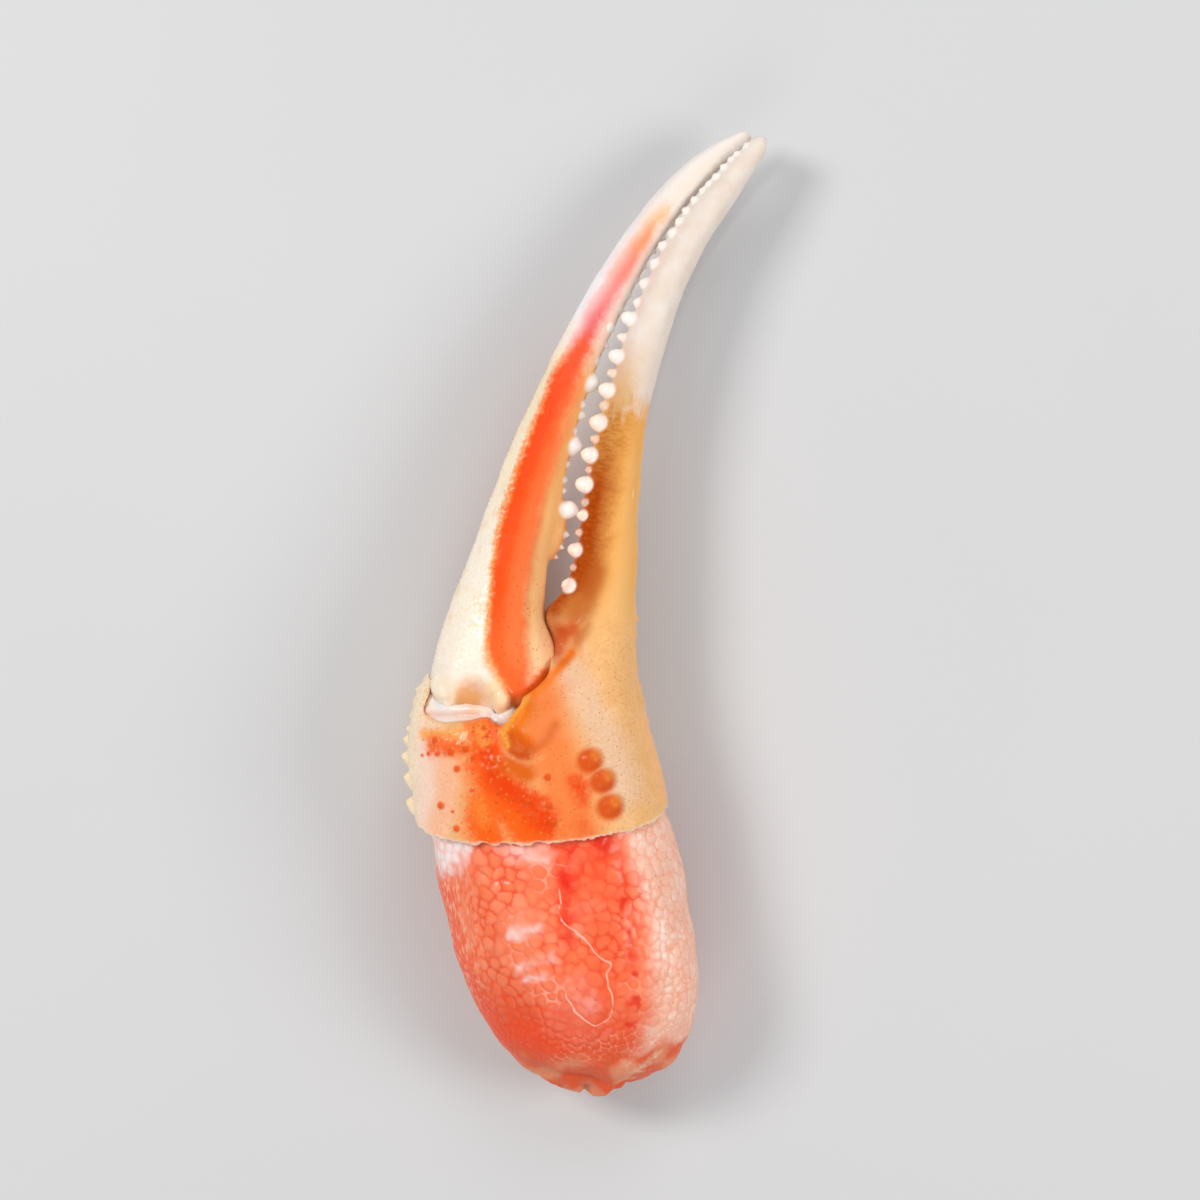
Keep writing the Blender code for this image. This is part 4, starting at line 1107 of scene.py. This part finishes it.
def dactylMaterial():
    looks = {"specular": 0.06, "coatRoughness": 0.13, "glow": 0.25, "glowDepth": 0.0007, "glowColour": (1, 0.4, 0.2)}
    material, n, place = newMaterial("dactylFinish", **looks)
    soft = n.mottled(place, 420)
    broad, fine = n.centred(soft["Broad"], soft["Fine"])
    t, offRidge = n.read("along"), n.read("ridge")
    along = n.plus(t, n.times(broad, 0.03), n.times(fine, 0.03))
    loose = n.plus(offRidge, n.times(fine, n.ramp(t, 0.6, 0.7, (1, 0.25))), n.times(broad, 0.8))
    ridge = n.times(loose, n.ramp(t, 0.56, 0.68, (1, 0.5)))
    strip = n.plus(n.read("strip"), n.times(fine, 0.8), n.times(broad, 1.4))
    # each strip of the finger changes colour on its way to the white tip
    band, coral, left, inner, seam = (n.stops(along, *stops) for stops in dactyl["strips"].values())
    flecks = n.times(n.ramp(n.plus(soft["Broad"], n.times(fine, 0.5)), 0.54, 0.68), n.ramp(t, 0.5, 0.6, (0.5, 0)))
    halo = n.plus(n.ramp(t, 0.1, 0.3, (-1.5, -0.65)), n.ramp(t, 0.6, 0.7, (0, 0.4)))
    left = n.layers(left, (flecks, (248, 208, 160)), (n.ramp(loose, halo, 0), seam))
    dotted = n.times(n.ramp(t, 0.25, 0.5, (0.5, 0)), n.ramp(offRidge, 0.2, 1))
    colour = n.layers(
        band,
        (n.ramp(ridge, 1, 3), coral),
        (n.ramp(strip, -0.9, 0.9), inner),
        (n.ramp(ridge, n.ramp(t, 0.6, 0.7, (-0.25, -0.6)), n.ramp(t, 0.6, 0.7, (0.5, 0.75)), (1, 0)), left),
        # the red wedge at the finger's base: its own red, painted brighter as painted light against the flange's
        # shadow
        (n.loose("wedge", fine), (255, 112, 36)),
        (n.times(n.dots(place, 1700, 0.14, 0.8), dotted), (222, 66, 22)),
        (n.times(n.read("grain"), n.ramp(offRidge, -0.4, 0.4, (0.45, 0.15))), (255, 226, 190)),
    )
    under = n.mix(n.ramp(n.plus(soft["Broad"], n.times(fine, 0.3)), 0.4, 0.7), left, coral)
    colour = n.layers(
        under,
        (n.read("outer"), colour),
        (n.loose("foot", broad), (253, 228, 214)),
        (n.loose("bump", broad), (252, 232, 208)),
        # painted shade in the dip beside the bump
        (n.loose("hollow", broad), (232, 170, 108)),
        (n.loose("condyle", broad), (254, 222, 180)),
        (n.read("tooth"), (255, 252, 246)),
    )
    sheen = n.times(n.ramp(offRidge, -3, -0.6), n.ramp(offRidge, 0.2, 0.8, (0.3, 0)), n.ramp(t, 0.5, 0.65, (1, 0.3)))
    n.finish(
        colour=colour,
        coat=n.plus(sheen, n.ramp(t, 0.04, 0.2, (0.75, 0.05)), n.read("grain", 0.5), n.read("tooth", 0.35)),
        roughness=n.plus(0.28, n.times(soft["Fine"], 0.2), n.ramp(t, 0.05, 0.3, (0, 0.16))),
        normal=n.bump(soft["Height"], 0.0001, 0.5),
    )
    return material


def meatMaterial():
    looks = {"specular": 0.1, "coatRoughness": 0.12, "glow": 0.35, "glowDepth": 0.0014, "glowColour": (1, 0.35, 0.2)}
    material, n, place = newMaterial("meatFinish", **looks)
    soft = n.mottled(place, 380)
    broad, fine = n.centred(soft["Broad"], soft["Fine"])
    paleSide, streaky, torn = n.read("paleSide"), n.read("streaky"), n.read("flesh")
    border = n.plus(n.read("border"), n.times(fine, 0.08))
    cell = n.mix(n.read("tone"), (250, 128, 84), (254, 150, 112))
    cell = n.mix(n.ramp(n.plus(soft["Broad"], n.times(fine, 0.3)), 0.35, 0.7, (0, 0.6)), cell, (252, 116, 70))
    veil = n.ramp(n.noise(place, 150, 2), 0.42, 0.66)
    net = n.times(n.ramp(border, 0.02, 0.15, (1, 0)), n.less(1, n.times(veil, 0.5)))
    redNet = n.mix(n.ramp(soft["Broad"], 0.3, 0.7), (234, 66, 30), (242, 84, 44))
    lightNet = n.ramp(n.noise(place, 110, 2), 0.5, 0.62)
    veins = n.cells(place, 1500, "DISTANCE_TO_EDGE")["Distance"]
    pale = n.layers(
        (246, 186, 160),
        (n.read("tone"), (250, 202, 180)),
        (n.ramp(soft["Broad"], 0.5, 0.72), (250, 220, 204)),
        (n.times(net, 0.4), (242, 146, 110)),
        (n.ramp(veins, 0.02, 0.1, (0.3, 0)), (240, 146, 108)),
    )
    # painted highlights: light lengthwise streaks down the left edge
    sheenStreaks = n.ramp(n.grain(place, (2400, 420, 2400), 0.28), 0.5, 0.66, (0, 0.7))
    colour = n.layers(
        cell,
        (n.ramp(border, 0.1, 0.5, (0.3, 0)), (246, 100, 58)),
        (n.loose("redder", broad, 0.7), (249, 98, 52)),
        (n.read("lowEnd", 0.7), (224, 70, 28)),
        (n.times(net, n.less(0.8, n.times(streaky, 0.55))), n.mix(lightNet, redNet, (255, 168, 136))),
        # pale pink patches: painted highlights of the translucent flesh
        (n.ramp(n.noise(place, 90, 3), 0.54, 0.72, (0, 0.28)), (250, 158, 132)),
        (n.ramp(n.plus(paleSide, n.times(broad, 0.7)), 0.05, 0.95), pale),
        (n.loose("hot", broad, 0.6), (246, 76, 30)),
        (n.times(streaky, sheenStreaks), (255, 188, 154)),
        (n.loose("seam", broad, n.ramp(n.read("lowEnd"), 0, 0.6, (0.95, 0.2))), (237, 28, 8)),
        (n.loose("redSpot", fine, 0.8), (226, 36, 18)),
        (n.loose("whitePatch", broad, n.less(1, n.times(net, 0.35))), (255, 236, 234)),
        (n.times(n.ramp(n.read("thread"), 0.05, 0.15, (1, 0)), 0.7), (255, 204, 184)),
        (n.times(n.dots(place, 800, 0.07, 0.3), 0.5), (214, 48, 26)),
    )
    under = n.layers((252, 150, 108), (net, (242, 92, 54)), (n.ramp(soft["Broad"], 0.5, 0.75), pale))
    # the torn end: orange going over into soft pale flesh
    palePatch = n.ramp(n.plus(soft["Broad"], n.times(fine, 0.5)), 0.48, 0.76, (0, 0.8))
    flesh = n.layers(
        (228, 92, 50),
        (n.ramp(n.plus(n.read("lobes"), n.times(broad, 1.4)), -0.25, 0.35), (230, 140, 102)),
        (n.times(palePatch, paleSide), (240, 206, 184)),
        (n.ramp(n.grain(place, (1800, 260, 1800)), 0.55, 0.75, (0, 0.5)), (234, 116, 74)),
    )
    colour = n.layers(
        under,
        (n.read("outer"), colour),
        (n.ramp(n.plus(torn, n.times(broad, 0.6)), 0.05, 0.95), flesh),
        (n.times(n.dots(place, 1300, 0.09, 0.35), paleSide, 0.5), (206, 84, 56)),
    )
    bubble = n.times(n.ramp(border, 0, 0.4), n.less(1, torn))
    n.finish(
        colour=colour,
        coat=n.ramp(torn, 0, 0.6, (0.36, 0.16)),
        roughness=n.plus(0.24, n.times(soft["Fine"], 0.2), n.times(torn, 0.15)),
        normal=n.bump(n.plus(n.times(soft["Height"], 0.6), bubble), 0.00014, 0.38),
    )
    return material


def membraneMaterial():
    looks = {"specular": 0.3, "coatRoughness": 0.1, "glow": 0.4, "glowDepth": 0.0012, "glowColour": (1, 0.5, 0.35)}
    material, n, place = newMaterial("membraneFinish", coat=0.6, **looks)
    soft = n.mottled(place, 350)
    colour = n.layers(
        (255, 242, 232),
        (n.ramp(soft["Broad"], 0.35, 0.7), (255, 248, 241)),
        (n.read("rose", 0.5), (254, 222, 218)),
        # painted shade: a darker pink down the fold's crease
        (n.read("fold", 0.35), (248, 180, 160)),
        # painted shade where the shaded dip beside the bump reaches the skin
        (n.read("tan", 0.6), (242, 190, 142)),
    )
    n.finish(
        colour=colour,
        roughness=n.plus(0.24, n.times(soft["Fine"], 0.2)),
        normal=n.bump(n.plus(soft["Height"], n.grain(place, (500, 2600, 1500))), 0.0001, 0.5),
    )
    return material


stageSet = {
    "height": 0.455, "lens": 120, "turn": 10, "aim": (0.0003, 0, 0.01), "floor": ((205, 206, 208), (210, 211, 212)),
    "sky": 0.345,
    "lights": [
        ("keyLight", (-0.42, 0.12, 0.5), 2.12, 0.2, (1, 0.97, 0.93)),
        ("rightLight", (0.5, 0.05, 0.42), 1.65, 0.3, (1, 0.98, 0.96)),
        ("topLight", (0.05, 0.55, 0.55), 1, 0.35, (0.97, 0.98, 1)),
        ("lowLight", (-0.05, -0.6, 0.45), 1.02, 0.4, (1, 0.98, 0.97)),
    ],
}


def buildStage():
    p = stageSet
    scene = bpy.context.scene
    cameraData = bpy.data.cameras.new("camera")
    cameraData.lens = p["lens"]
    cameraData.clip_start = 0.01
    camera = bpy.data.objects.new("camera", cameraData)
    scene.collection.objects.link(camera)
    camera.location = Vector(p["aim"]) + Vector((0, 0, p["height"]))
    camera.rotation_euler = (0, 0, math.radians(p["turn"]))
    scene.camera = camera
    bm = bmesh.new()
    bmesh.ops.create_grid(bm, x_segments=2, y_segments=2, size=1.5)
    floor = newPiece("floor", bm)
    finish, n, place = newMaterial("floorFinish", roughness=0.65)
    n.finish(colour=n.mix(n.noise(place, 12), *p["floor"]))
    floor.data.materials.append(finish)
    for name, spot, power, size, colour in p["lights"]:
        lamp = bpy.data.lights.new(name, "AREA")
        lamp.energy, lamp.size, lamp.color = power, size, colour
        light = bpy.data.objects.new(name, lamp)
        scene.collection.objects.link(light)
        light.location = spot
        light.rotation_euler = (-Vector(spot)).to_track_quat("-Z", "Y").to_euler()
    world = bpy.data.worlds.new("studio")
    scene.world = world
    world.use_nodes = True
    world.node_tree.nodes["Background"].inputs[0].default_value = (0.95, 0.97, 1, 1)
    world.node_tree.nodes["Background"].inputs[1].default_value = p["sky"]
    scene.view_settings.view_transform = "Standard"
    print("stage ready")


buildStage()
settle(buildMeat(), meatMaterial(), "meat")
settle(buildDactyl(), dactylMaterial(), "dactyl")
settle(buildPalmShell(), palmMaterial(), "palm_shell")
settle(buildMembrane(), membraneMaterial(), "joint_membrane")
